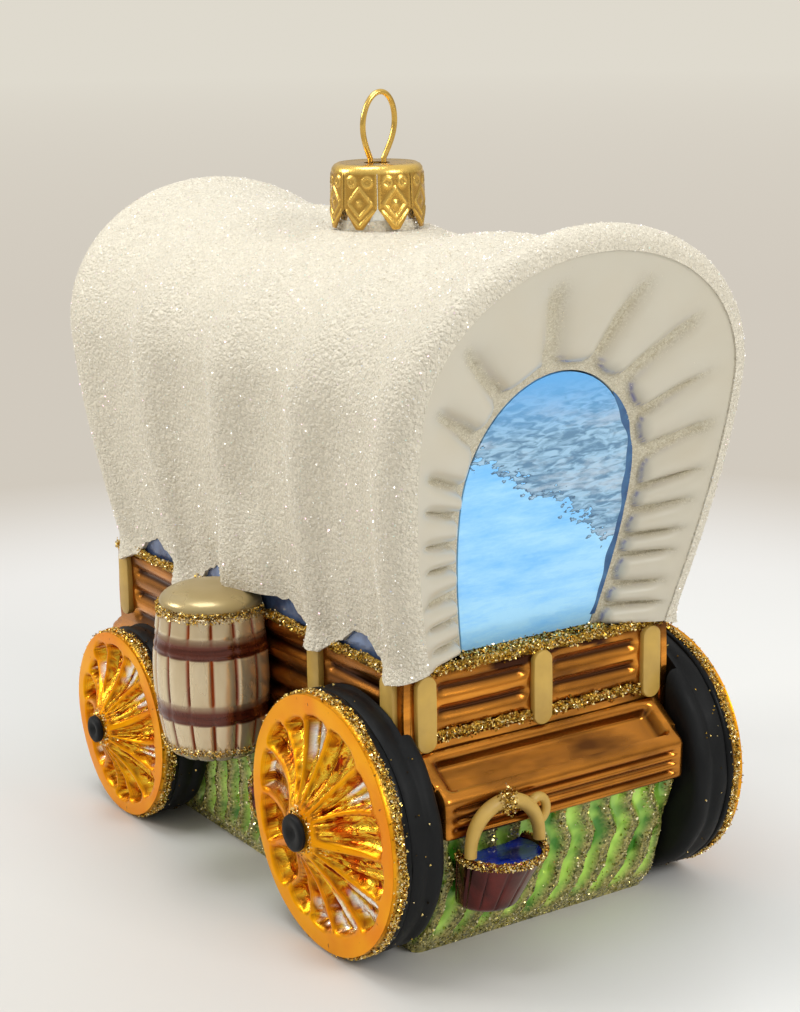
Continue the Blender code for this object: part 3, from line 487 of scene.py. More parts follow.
def brushed_lacquer(name):
    """Uneven hand-brushed lacquer: a patchy mask, a gloss that drifts and a slight ripple."""
    paint, given, result = new_group(
        name, {"Patch Scale": 120.0, "Stretch": (1, 1, 1), "Rough": 0.2}, ("Patch", "Roughness", "Height"))
    place = paint.stretched(paint.node("TexCoord")["Object"], given["Stretch"])
    patch = paint.noise(given["Patch Scale"], place, detail=3.0, roughness=0.55)
    spread = paint.span(patch, 0.3, 0.7)
    ripple = paint.multiply(paint.noise(700.0, place), 0.2)
    paint.fill(result, {
        "Patch": spread, "Roughness": paint.add(given["Rough"], paint.multiply(spread, 0.12)),
        "Height": paint.add(paint.multiply(patch, 0.8), ripple)})
    return paint.tree


def crushed_glass(name):
    """Crushed glass on lacquer: a height and a shade for each grain."""
    paint, given, result = new_group(name, {"Grain Scale": 2000.0}, ("Shade", "Height"))
    grain = paint.node(
        "TexVoronoi", {"Vector": paint.node("TexCoord")["Object"], "Scale": given["Grain Scale"]})
    shade = paint.node("SeparateColor", {0: grain["Color"]})[0]
    dome = paint.span(grain["Distance"], 0.0, 0.8, 1.0, 0.0)
    height = paint.multiply(dome, paint.add(paint.multiply(shade, 0.7), 0.3))
    paint.fill(result, {"Shade": shade, "Height": height})
    return paint.tree


def paint_cover(paint, colours):
    coarse_shade, coarse = paint.grain(1500.0)
    fine_shade, fine = paint.grain(3100.0)
    shade = paint.add(paint.multiply(coarse_shade, 0.5), paint.multiply(fine_shade, 0.5))
    dim = tuple(part * 0.74 for part in colours.cover[:3])
    paint.finish(
        colour=paint.mix(shade, dim, colours.cover), rough=0.55, specular=0.5,
        bump=(paint.add(coarse, paint.multiply(fine, 0.5)), 1.0, 0.00038))


def paint_crystal(paint, colours):
    """Clear crystals, a few of them tinted, and about one in seventy aglow as a glint."""
    tint = paint.mark("tint")
    glints = (
        (0.0, (0.0, 0.0, 0.0)), (0.986, (1.0, 0.99, 0.96)),
        (0.995, (1.0, 0.55, 0.72)), (0.9975, (0.45, 0.85, 1.0)))
    hues = (
        (0.0, (0.84, 0.79, 0.68)), (0.35, (0.96, 0.93, 0.86)), (0.74, (0.78, 0.71, 0.58)),
        (0.91, (1.0, 0.84, 0.88)), (0.945, (0.84, 0.98, 0.88)), (0.975, (0.86, 0.90, 1.0)))
    paint.finish(
        colour=paint.ramp(tint, hues, "CONSTANT"), rough=0.10, specular=0.9,
        metallic=paint.span(tint, 0.90, 0.93, 0.0, 0.15),
        glow=paint.ramp(tint, glints, "CONSTANT"), glow_strength=2.2)


def paint_bead(paint, colours):
    shade, height = paint.grain(2000.0)
    gold = paint.mix(shade, (0.11, 0.055, 0.012), colours.glitter)
    paint.finish(colour=gold, rough=0.34, metallic=0.9, bump=(height, 1.0, 0.00030))


def paint_curtain(paint, colours):
    """Satin pearl, crystal dust in the valleys, a painted blue shadow line round the pillows and blue in the
    reveal.
    """
    valley, lip = paint.mark("valley"), paint.mark("lip")
    shade, height = paint.grain(3400.0)
    dust = paint.mix(shade, (0.48, 0.42, 0.29), (0.68, 0.63, 0.49))
    drift = paint.span(paint.noise(110.0), 0.35, 0.7)
    satin = paint.mix(drift, colours.curtain, (0.60, 0.545, 0.425))
    # Up to one the lip mark is painted shade: a blue shadow line round the pillows' ends and along their
    # sides.
    line = paint.mix(paint.math("MINIMUM", lip, 1.0), satin, (0.17, 0.165, 0.37))
    reveal = paint.mix(paint.subtract(lip, 1.0, clamp=True), line, (0.20, 0.38, 0.66))
    paint.finish(
        colour=paint.mix(valley, reveal, dust), rough=paint.span(valley, 0.0, 1.0, 0.30, 0.55),
        coat=0.45, coat_rough=0.22, sheen=0.1, bump=(paint.multiply(height, valley), 0.8, 0.00015))


def paint_window(paint, colours):
    """Blue glass over silvering, with a painted dark mottled reflection on its upper part, painted pale
    highlights low down and a faint painted glow.
    """
    place = paint.place()
    split = paint.node("SeparateXYZ", {0: place})
    x, z = split[0], split[2]
    broad = paint.noise(170.0, place, detail=3.0)
    drops = paint.noise(620.0, paint.place(scale=(1.0, 1.0, 1.9)))
    ragged = paint.add(*(paint.multiply(paint.subtract(noise, 0.5), 0.012) for noise in (broad, drops)))
    shadow_edge = paint.add(paint.subtract(z, BOX_TOP + 0.0252), paint.multiply(x, 0.60))
    shadow_edge = paint.add(shadow_edge, ragged)
    # Where the painted dark reflection covers the pane's upper part.
    dark_reflection = paint.span(shadow_edge, -0.0001, 0.0002)
    # A dark painted outline along the reflection's ragged edge.
    rim = paint.multiply(dark_reflection, paint.span(shadow_edge, 0.0011, 0.0003))
    mottle = paint.noise(460.0, paint.place(scale=(0.7, 0.7, 2.6)), detail=5.0, distortion=0.8)
    clouds = paint.noise(
        130.0, paint.place(scale=(0.5, 0.5, 2.2), location=(0.004, 0, 0.011)), detail=6.0, roughness=0.7)
    upper = paint.mix(paint.span(mottle, 0.40, 0.60), colours.window_dark, (0.34, 0.56, 0.76))
    upper = paint.mix(paint.span(clouds, 0.50, 0.68, 0.0, 0.8), upper, (0.50, 0.61, 0.72))
    upper = paint.mix(paint.span(z, BOX_TOP + 0.036, BOX_TOP + 0.046), upper, (0.13, 0.42, 0.82))
    upper = paint.mix(rim, upper, (0.05, 0.11, 0.20))
    # Painted pale highlights, more of them towards the bottom of the pane.
    pale = paint.span(paint.add(clouds, paint.multiply(z, -4.0)), 0.05, 0.35)
    lower = paint.mix(pale, colours.window, (0.38, 0.72, 1.0))
    blue = paint.mix(dark_reflection, lower, upper)
    height = paint.add(paint.multiply(dark_reflection, mottle), paint.multiply(broad, 0.8))
    # The emission is a painted glow that brightens the pane; it is no lamp.
    paint.finish(
        colour=blue, glow=blue, glow_strength=0.12, metallic=paint.span(dark_reflection, 0.0, 1.0, 0.06, 0.03),
        rough=paint.span(dark_reflection, 0.0, 1.0, 0.12, 0.3), specular=0.3, coat=0.1, coat_rough=0.02,
        bump=(height, 0.3, 0.0006))


def paint_wheel(paint, colours):
    """Amber lacquer over silvering: flat on felloe and spokes, partly bare in the hollows, with painted
    reflections in streaks through the hollows and painted shade along their edges.
    """
    hollow, shade, band, outward = (paint.mark(name) for name in ("hollow", "shade", "band", "reach"))
    place = paint.node("CombineXYZ", {0: paint.mark("around"), 1: outward, 2: 0.0})[0]
    streak = paint.noise(
        5.0, paint.stretched(place, (14.0, 1.5, 1.0)), detail=4.0, roughness=0.6, distortion=0.5)
    # Painted reflections: dark brown, red and bright yellow streaks inside the hollows.
    reflection_streaks = paint.ramp(streak, (
        (0.30, (0.20, 0.02, 0.004)), (0.39, colours.amber_dark), (0.43, (1.0, 0.34, 0.01)),
        (0.52, (1.0, 0.68, 0.06)), (0.60, (1.0, 0.50, 0.02)), (0.68, (0.66, 0.14, 0.01))))
    plain = paint.mix(paint.span(paint.noise(90.0), 0.38, 0.62), colours.amber, (0.92, 0.29, 0.0))
    ticks = paint.span(paint.noise(1.0, paint.stretched(place, (150.0, 9.0, 1.0))), 0.70, 0.73)
    plain = paint.mix(ticks, plain, (0.35, 0.07, 0.005))
    colour = paint.mix(hollow, plain, reflection_streaks)
    # Painted red reflections at the outer ends of some hollows.
    blobs = paint.span(paint.noise(230.0), 0.58, 0.64)
    colour = paint.mix(paint.multiply(blobs, paint.multiply(hollow, 0.8)), colour, (0.62, 0.045, 0.0))
    # The shade mark is painted shade along the hollows' edges and between their strands.
    colour = paint.mix(paint.multiply(shade, 0.85), colour, (0.17, 0.028, 0.003))
    colour = paint.mix(paint.mark("silver"), colour, (0.95, 0.92, 0.86))
    colour = paint.mix(paint.span(outward, 1.0, 1.03), colour, (0.85, 0.36, 0.01))
    grain_shade, grain = paint.grain(1900.0)
    colour = paint.mix(band, colour, paint.mix(grain_shade, (0.12, 0.06, 0.01), (0.74, 0.50, 0.10)))
    inside = paint.span(outward, 1.095, 1.10)
    black = paint.multiply(inside, paint.subtract(1.0, band), clamp=True)
    metal = paint.math("MAXIMUM", paint.span(hollow, 0.0, 1.0, 0.65, 0.95), paint.multiply(band, 0.9))
    height = paint.add(paint.multiply(streak, hollow), paint.multiply(grain, paint.multiply(band, 0.5)))
    paint.finish(
        colour=paint.mix(black, colour, colours.black),
        metallic=paint.multiply(metal, paint.subtract(1.0, black)),
        rough=paint.span(hollow, 0.0, 1.0, 0.34, 0.10), coat=0.0, specular=0.12, bump=(height, 0.6, 0.0009))


def paint_barrel(paint, colours):
    stave = paint.mark("stave")
    patch, gloss, height = paint.brushed(260.0, 0.20, (1, 1, 0.35))
    pale = paint.mix(patch, colours.pearl, (0.72, 0.60, 0.40))
    rust = paint.mix(patch, (0.42, 0.080, 0.010), (0.12, 0.022, 0.008))
    lined = paint.mix(paint.multiply(stave, 1.5, clamp=True), pale, rust)
    washed = paint.mix(paint.multiply(paint.mark("wash"), 1.35, clamp=True), lined, (0.13, 0.026, 0.012))
    banded = paint.mix(paint.mark("hoop"), washed, colours.hoop)
    paint.finish(
        colour=paint.mix(paint.mark("foot"), banded, (0.27, 0.21, 0.10)), rough=gloss,
        metallic=paint.span(stave, 0.0, 1.0, 0.55, 0.2), coat=0.35, coat_rough=0.10,
        bump=(height, 0.1, 0.0004))


def paint_grass(paint, colours):
    strand = paint.mark("strand")
    shade, height = paint.grain(2200.0)
    green = paint.mix(paint.span(paint.noise(140.0), 0.44, 0.64), colours.grass, (0.06, 0.27, 0.015))
    dust = paint.mix(shade, (0.08, 0.085, 0.015), (0.52, 0.46, 0.14))
    paint.finish(
        colour=paint.mix(strand, green, dust), rough=0.18, metallic=0.2, coat=0.5, coat_rough=0.05,
        bump=(paint.multiply(height, strand), 0.8, 0.0002))


def paint_neck(paint, colours):
    """Silvered glass, with the cover's white lacquer running up its foot."""
    drift = paint.noise(420.0)
    z = paint.node("SeparateXYZ", {0: paint.place()})[2]
    ragged = paint.add(z, paint.multiply(paint.subtract(drift, 0.5), 0.0012))
    bare = paint.span(ragged, CAP_FOOT + 0.0012, CAP_FOOT + 0.0015)
    silver = paint.mix(drift, (0.62, 0.64, 0.64), (0.84, 0.86, 0.86))
    lacquered = paint.multiply(paint.grain(1500.0)[1], paint.subtract(1.0, bare))
    paint.finish(
        colour=paint.mix(bare, colours.cover, silver), metallic=paint.span(bare, 0.0, 1.0, 0.0, 0.9),
        rough=paint.span(bare, 0.0, 1.0, 0.55, 0.08), specular=0.5, bump=(lacquered, 1.0, 0.00035))


def paint_cap(paint, colours):
    _, gloss, height = paint.brushed(900.0, 0.2)
    # The low mark is painted shade, darker where the stamped relief is not raised.
    gold = paint.mix(paint.mark("low"), colours.gold, (0.60, 0.35, 0.075))
    paint.finish(colour=gold, metallic=1.0, rough=gloss, bump=(height, 0.3, 0.0003))


def paint_lacquer(paint, light, dark, rough, metallic, coat, patch_scale, patch_share=0.5, bump=0.15,
                  specular=0.5, mask=None, stretch=(1, 1, 1)):
    """Brushed lacquer over silvering; mask names the attribute that marks its dark grooves."""
    patch, gloss, height = paint.brushed(patch_scale, rough, stretch)
    shade = paint.multiply(patch, patch_share)
    if mask:
        shade = paint.math("MAXIMUM", shade, paint.mark(mask), clamp=True)
    paint.finish(
        colour=paint.mix(shade, light, dark), rough=gloss, metallic=metallic, specular=specular,
        coat=coat, coat_rough=0.04, bump=(height, bump, 0.0004))


def paint_glitter(paint, light, dark, pale, rough=0.22, metallic=1.0):
    stops = ((0.0, dark), (0.35, light), (0.75, pale), (1.0, (1.0, 0.9, 0.62)))
    paint.finish(colour=paint.ramp(paint.mark("tint"), stops), rough=rough, metallic=metallic)


PAINTERS = {
    "crystal_cover": paint_cover, "clear_crystal": paint_crystal, "gold_bead": paint_bead,
    "pearl_curtain": paint_curtain, "blue_window": paint_window, "amber_wheel": paint_wheel,
    "pearl_barrel": paint_barrel, "green_grass": paint_grass, "silvered_neck": paint_neck,
    "stamped_gold": paint_cap,
}
# Where a light or dark colour is a name, it is one of the panel's colours.
LACQUERS = {
    # Painted shade: the deep blue strip down the window's right side.
    "window_edge_blue": dict(
        light=(0.05, 0.17, 0.36), dark=(0.02, 0.06, 0.18), rough=0.3, metallic=0.0, coat=0.1,
        patch_scale=400.0, patch_share=0.8),
    "strip_blue": dict(
        light=(0.15, 0.23, 0.42), dark=(0.04, 0.06, 0.15), rough=0.15, metallic=0.3, coat=0.5,
        patch_scale=260.0, patch_share=1.0, bump=0.5),
    # Its groove mask holds the dark grooves and also painted shade.
    "amber_planks": dict(
        light="plank", dark="plank_dark", mask="groove", rough=0.19, metallic=0.95, coat=0.1,
        patch_scale=230.0, patch_share=0.88, stretch=(0.22, 0.22, 1.0), bump=0.5),
    "tan_enamel": dict(
        light="stake", dark=(0.30, 0.18, 0.05), rough=0.42, metallic=0.0, coat=0.1, patch_scale=200.0,
        patch_share=0.4, bump=0.1),
    "black_lacquer": dict(
        light="black", dark=(0.011, 0.0115, 0.012), rough=0.46, metallic=0.0, coat=0.0, patch_scale=300.0,
        bump=0.3, specular=0.16),
    "pearl_gold": dict(
        light=(0.47, 0.36, 0.165), dark=(0.37, 0.27, 0.11), rough=0.26, metallic=0.5, coat=0.25,
        patch_scale=110.0, bump=0.05),
    "maroon_lacquer": dict(
        light="maroon", dark=(0.02, 0.004, 0.004), mask="groove", rough=0.1, metallic=0.85, coat=0.35,
        patch_scale=260.0, patch_share=0.8, stretch=(1, 1, 0.3), bump=0.35),
    "blue_water": dict(
        light="water", dark=(0.002, 0.006, 0.08), rough=0.05, metallic=0.3, coat=0.5, patch_scale=190.0,
        patch_share=1.0, stretch=(0.35, 1, 1), bump=1.0, specular=0.4),
    "gold_wire": dict(
        light="gold", dark=(0.45, 0.25, 0.05), rough=0.16, metallic=1.0, coat=0.0, patch_scale=400.0),
}
GLITTERS = {
    "gold_glitter": dict(light="glitter", dark=(0.11, 0.05, 0.008), pale=(0.96, 0.72, 0.25)),
    "grass_glitter": dict(light=(0.48, 0.41, 0.10), dark=(0.08, 0.09, 0.015), pale=(0.92, 0.84, 0.46)),
    "pale_glitter": dict(
        light=(0.70, 0.64, 0.49), dark=(0.56, 0.49, 0.35), pale=(0.90, 0.86, 0.74), rough=0.35,
        metallic=0.15),
}
MATERIALS = {}


def material(name):
    """One material of the ornament, made when it is first asked for."""
    if name in MATERIALS:
        return MATERIALS[name]
    paint = Paint(bpy.data.materials.new(name))
    colours = bpy.context.scene.ornament_colours
    if name in PAINTERS:
        PAINTERS[name](paint, colours)
    else:
        facts = dict(LACQUERS.get(name) or GLITTERS[name])
        for key in ("light", "dark"):
            if isinstance(facts[key], str):
                facts[key] = getattr(colours, facts[key])
        (paint_lacquer if name in LACQUERS else paint_glitter)(paint, **facts)
    MATERIALS[name] = paint.owner
    return paint.owner


# Cover


BOWS = 5
RIM = 0.0040
COVER_END = {
    "rear": {"inset": 0.0009, "lean": 11.7, "half": COVER_FOOT_HALF + 0.0059, "top": BOX_TOP + 0.0705},
    "front": {"inset": 0.0055, "lean": 10.0, "half": COVER_FOOT_HALF + 0.0044, "top": BOX_TOP + 0.0690},
}
COVER_MID_HALF = COVER_FOOT_HALF + 0.0039
COVER_MID_TOP = BOX_TOP + 0.0649
LEG_SHARE = 0.46
TIP_DROOP = 0.0017
TIP_SPREAD = 0.0013


def side_of(v):
    return np.where(v < 0, -1, 1)


def arch(foot_half, widest_half, top, foot, v, spring=COVER_SPRING):
    """Horseshoe arch (x, z) over the box, for v from -1, the left foot, to 1, the right foot."""
    lift = (1 - np.abs(v)) / LEG_SHARE
    leg_z = foot + (spring - foot) * lift
    rise = np.clip((leg_z - BOX_TOP) / (spring - BOX_TOP), 0, 1)
    leg_x = foot_half + (widest_half - foot_half) * np.sin(np.pi / 2 * rise)
    angle = np.pi / 2 * (1 - np.abs(v) / (1 - LEG_SHARE))
    x = np.where(lift < 1, leg_x, widest_half * np.cos(angle))
    z = np.where(lift < 1, leg_z, spring + (top - spring) * np.sin(angle))
    return side_of(v) * x, z


def end_plane(z, end):
    facts = COVER_END[end]
    lean = math.tan(math.radians(facts["lean"]))
    return BOX_HALF_LENGTH - facts["inset"] + lean * np.maximum(0.0, z - BOX_TOP)


def along(u, z):
    return (1 + u) / 2 * end_plane(z, "front") - (1 - u) / 2 * end_plane(z, "rear")


def cover_swell(sizes, u, v, low):
    """How far the cover's bows stand out and its folds sink between them."""
    calm = 1 - u * u
    share = (u + 1 + 0.016 * np.sin(5 * v + 2) * calm) * (BOWS - 1) / 2
    bow = 0.5 + 0.5 * np.cos(FULL_TURN * share)
    ridge = 2 * bow ** (1.7 + 2.0 * low) - 1
    slack = smooth_step(0.10, 0.45, np.abs(v)) * calm ** 0.5
    crease = np.cos(FULL_TURN * share * 3 + 1.1 * np.sin(3 * v)) * low ** 2 * calm ** 0.3
    dent = 0.25 * np.sin(17 * u + 6 * v) * np.sin(9 * v - 4 * u) * calm
    return sizes.fold_depth * (ridge * (1 + 0.25 * low + slack) + 0.70 * crease + dent)


def hem(sizes, u, droop):
    """Height of the cover's foot: arched between the tips, ragged, and laid on the barrels' lids."""
    place = ((u + 1) * (BOWS - 1) / 2) % 1.0
    foot = BOX_TOP - droop + (sizes.hem_arch + droop) * max(0.0, math.sin(math.pi * place)) ** 1.9
    foot += 0.00025 * math.sin(61 * u) + 0.00015 * math.sin(143 * u + 1)
    over_barrel = abs(along(u, BOX_TOP) + 0.0005) <= 0.0125
    return max(foot, LID_TOP - 0.0006) if over_barrel else foot


def cover_rows(sizes):
    """Points of the cover's outer face, from the rear rim's lip to the front one's."""
    turns = np.radians(np.linspace(90, 0, 8))[:-1]
    stations = [(-1.0, turn) for turn in turns] + [(u, 0.0) for u in np.linspace(-1, 1, 115)]
    stations += [(1.0, turn) for turn in turns[::-1]]
    v = np.linspace(-1, 1, 157)
    low = np.clip((np.abs(v) - (1 - LEG_SHARE)) / LEG_SHARE, 0, 1)
    rows = []
    for u, roll in stations:
        end = COVER_END["front" if u > 0 else "rear"]
        swell = np.full_like(v, sizes.fold_depth) if roll > 0 else cover_swell(sizes, u, v, low)
        inward = RIM * (1 - math.cos(roll))
        half = COVER_MID_HALF + (end["half"] - COVER_MID_HALF) * u * u + swell - inward
        top = COVER_MID_TOP + (end["top"] - COVER_MID_TOP) * u * u + swell - inward
        droop = TIP_DROOP * math.cos(roll)
        foot_half = COVER_FOOT_HALF + swell * 0.6 - 0.0005 - inward
        x, z = arch(foot_half, half, top, hem(sizes, u, droop), v)
        hang = 1 - smooth_step(0.0, 0.0045, z - (BOX_TOP - droop))
        x = x + side_of(v) * hang * TIP_SPREAD * math.cos(roll)
        drape = bell(along(u, BOX_TOP), -0.0050, 0.0068)
        x = x + side_of(v) * drape * 0.0036 * (1 - smooth_step(0.0, 0.020, z - LID_TOP))
        y = along(u, z) + math.copysign(RIM * math.sin(roll), u)
        collar = 1 - smooth_step(0.0085, 0.0140, np.hypot(x, y - NECK_Y))
        z = z + np.clip(CAP_FOOT - 0.0004 - z, 0, 0.0018) * collar * (z > COVER_SPRING)
        rows.append(np.stack([x, y, z], axis=1))
    return np.array(rows)


class ORNAMENT_OT_cover(bpy.types.Operator):
    """Builds the crystal-covered canvas cover"""

    bl_idname = "ornament.cover"
    bl_label = "Cover"

    def execute(self, context):
        sizes = context.scene.ornament_sizes
        rows = cover_rows(sizes)
        cover = loft("cover_glass", rows, around=(0, 0, 0.085), weld=False)
        thicken(cover, 0.0009)
        finish_piece(cover, "crystal_cover", "frosted_cover", "cover")
        points = scatter(rows, sizes.crystals, np.random.default_rng(11))
        shards("cover_crystals", points, sizes.crystal, 12, "clear_crystal", "frosted_cover", smallest=0.35)
        return {"FINISHED"}


# Curtains and windows


WINDOW_FOOT_HALF = 0.0135
WINDOW_HALF = WINDOW_FOOT_HALF + 0.0037
WINDOW_SPRING = BOX_TOP + 0.0265
WINDOW_TOP = BOX_TOP + 0.0473
CURTAIN_RECESS = 0.0050
PLEATS = 21
PILLOW_END = 0.925
# How far each row of the window's reveal sinks, and how dusty it is.
REVEAL = ((0.0005, 0.9), (0.0011, 0.35), (0.0019, 0.0), (0.0029, 0.0))


def window_arch(v):
    return arch(WINDOW_FOOT_HALF, WINDOW_HALF, WINDOW_TOP, BOX_TOP + SEAM, v, spring=WINDOW_SPRING)


def curtain_rows(sizes, end, sign):
    """Points of a curtain from the rim to the window and back into its reveal, with its marks.

    Each pillow is full at the rim and ends round above the window; the valleys between open towards it.
    """
    facts = COVER_END[end]
    dense = np.linspace(-1, 1, 2001)
    lift = 1 - np.abs(dense)
    filled = PLEATS / 2 * (0.55 * (1 - (1 - lift) ** 2) + 0.45 * lift)
    walk = np.linspace(0, PLEATS, PLEATS * 12 + 1)
    v = np.interp(walk, np.where(dense < 0, filled, PLEATS - filled), dense)
    lift = 1 - np.abs(v)
    level = side_of(v) * (1 - 0.62 * lift - 0.38 * lift ** 2.6)
    tight = RIM - 0.0002
    lip_half, lip_top = (facts[key] + sizes.fold_depth - tight for key in ("half", "top"))
    lip_x, lip_z = arch(COVER_FOOT_HALF - tight, lip_half, lip_top, BOX_TOP + SEAM, level)
    window_x, window_z = window_arch(v)
    phase = (walk + 0.16 * np.sin(walk * 1.15) + 0.08 * np.sin(walk * 2.9)) % 1.0
    across = (phase - 0.5) * 2
    which = np.floor(walk).astype(int) % PLEATS
    long = np.random.default_rng(25).uniform(-0.03, 0.02, PLEATS)[which]
    start = np.random.default_rng(26).uniform(0.06, 0.20, PLEATS)[which]
    start = start + 0.05 * (1 - smooth_step(0.35, 0.62, np.abs(v)))
    rows, valleys, shadow_lines_and_reveal = [], [], []
    for share in np.concatenate([np.linspace(0, 0.70, 12), np.linspace(0.73, 1.0, 18)]):
        opening = 0.13 + 0.14 * smooth_step(0.35, 0.95, share)
        side = np.clip((np.abs(across) - 0.02) / (1 - opening), 0, 1.3)
        reach = np.clip((share - (PILLOW_END + long) + 0.12) / 0.12, 0, 1.3)
        bound = (side ** 2.6 + reach ** 2.6) ** (1 / 2.6)
        pillow = np.sqrt(np.clip(1 - bound ** 2.1, 0, 1))
        ramp = smooth_step(start * 0.6, start + 0.26, share)
        depth = sizes.pleat_depth * ramp * (1 - pillow) - 0.00025 * ramp * pillow
        x = lip_x + (window_x - lip_x) * share
        z = lip_z + (window_z - lip_z) * share
        y = end_plane(z, end) + RIM - SEAM - (CURTAIN_RECESS - SEAM) * share - depth
        rows.append(np.stack([x, sign * y, z], axis=1))
        valleys.append(smooth_step(0.93, 1.0, bound) * smooth_step(start * 0.7, start + 0.12, share))
        # Painted shade: a blue shadow line round each pillow's rounded end and a faint shadow along its
        # sides; the reveal's rows are marked above one.
        shadow_edge = bell(bound, 0.95, 0.06) * smooth_step(0.15, 0.7, reach)
        shadow = bell(bound, 0.97, 0.06) * ramp * 0.16
        shadow_lines_and_reveal.append(np.maximum(shadow_edge, shadow))
    last = rows[-1]
    for sink, dusty in REVEAL:
        rows.append(last - (0, sign * sink, 0))
        valleys.append(np.full_like(walk, dusty))
        shadow_lines_and_reveal.append(np.full_like(walk, 2.0 * (1.0 - dusty)))
    return np.array(rows), {"valley": np.array(valleys), "lip": np.array(shadow_lines_and_reveal)}


class ORNAMENT_OT_curtains(bpy.types.Operator):
    """Builds the gathered end curtains and finishes the windows"""

    bl_idname = "ornament.curtains"
    bl_label = "Curtains and windows"

    def execute(self, context):
        sizes = context.scene.ornament_sizes
        for index, (end, sign) in enumerate(ENDS):
            rows, marks = curtain_rows(sizes, end, sign)
            curtain = loft(f"curtain_{end}_pleats", rows, marks, outward=(0, sign, 0), weld=False)
            thicken(curtain, 0.0004)
            finish_piece(curtain, "pearl_curtain", "pearl", f"curtain_{end}")
            shown = len(rows) - len(REVEAL)
            points = scatter(
                rows[:shown], 6000, np.random.default_rng(20 + index), marks["valley"][:shown] ** 2 + 0.002)
            shards(f"curtain_{end}_dust", points, 0.00012, 22 + index, "pale_glitter", "pearl")
            paint_node(f"pane_{end}", "blue_window")
            self.add_edge(end, sign)
        for side, _ in SIDES:
            paint_node(f"glass_strip_{side}", "strip_blue")
        return {"FINISHED"}

    def add_edge(self, end, sign):
        """A deep blue strip of painted shade down the window's right side, laid on the pane's leaning face.
        """
        t = np.linspace(0, 1, 90)
        outer_x, outer_z = window_arch(np.linspace(0.24, 0.97, t.size) * -sign)
        width = 0.00075 + 0.0003 * np.sin(t * 19) + 0.00015 * np.sin(t * 43 + 1)
        width = width * np.minimum(1, t / 0.15) ** 0.7
        away = np.stack([-outer_x, np.minimum(WINDOW_SPRING - outer_z, 0.0)], axis=1)
        away /= np.linalg.norm(away, axis=1)[:, None]
        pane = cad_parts[f"pane_{end}"].data
        corners = {index for face in pane.polygons if face.normal.y * sign > 0.5 for index in face.vertices}
        _, y, z = np.array([pane.vertices[index].co[:] for index in corners]).T
        slope, rest = np.polyfit(z, y, 1)
        rows = []
        for share, proud in ((-0.6, 0.00012), (0.35, 0.00012), (1.0, 0.00002)):
            x, z = outer_x + away[:, 0] * width * share, outer_z + away[:, 1] * width * share
            rows.append(np.stack([x, slope * z + rest + sign * proud, z], axis=1))
        shadow_edge = loft(f"window_{end}_edge", rows, outward=(0, sign, 0))
        thicken(shadow_edge, 0.00005)
        finish_piece(shadow_edge, "window_edge_blue", "blue_glass", angle=60)


# Box


GROOVED_SIDE_PLANKS = 6
GROOVED_END_PLANKS = 3
SIDE_STAKES = (-0.925, -0.48, 0.48, 0.925)
END_STAKES = (-0.855, 0.0, 0.855)
STAKE_WIDTH = 0.0040
STAKE_DEPTH = 0.0014
STAKE_OFFSET = 0.0003
FOOT_RAIL_TOP = BOX_BOTTOM + 0.0125
END_SILL_Z = FOOT_RAIL_TOP + 0.0024
STAKE_TOP = BOX_TOP - 0.0008
STAKE_FOOT = FOOT_RAIL_TOP + SEAM
SILL_LINE = (-BOX_HALF_WIDTH + 0.0045, BOX_HALF_WIDTH - 0.006)
BEAD_PROUD = 0.0005


def across_wagon(low, high, y, z):
    """Both ends of a level line across the wagon."""
    return (low, y, z), (high, y, z)


def along_wagon(x, z):
    """Both ends of a level line along the whole box."""
    return (x, -BOX_HALF_LENGTH, z), (x, BOX_HALF_LENGTH, z)


def wall_relief(across, z, low, planks, stakes, half, depth):
    """Depth below a wall's outer face, and how dark its grooves are, with painted shade beside the stakes and
    by the wall's ends. They run out by the stakes.
    """
    share = np.clip((z - low) / (BOX_TOP - low), 0, 1) * planks
    distance = np.abs(share - np.rint(share)) * 2
    groove = (1 - smooth_step(0.0, 0.75, distance)) * (z > low - 0.0006)
    nearest = np.min([np.abs(across - stake) for stake in stakes], axis=0)
    open_wall = smooth_step(0.0023, 0.0036, nearest)
    open_wall = open_wall * (1 - smooth_step(half - 0.0020, half - 0.0008, np.abs(across)))
    ripple = 0.00008 * np.sin(across * 310 + z * 190) + 0.00006 * np.sin(across * 170 - z * 420)
    # Painted shade: a dark line where the wall meets each stake and by its ends.
    shadow_edge = smooth_step(0.4, 1.0, 1 - np.abs(open_wall * 2 - 1))
    dark = np.clip(groove * open_wall * 1.05 + 0.30 * shadow_edge, 0, 1)
    return depth * groove * open_wall + ripple + 0.0001, dark


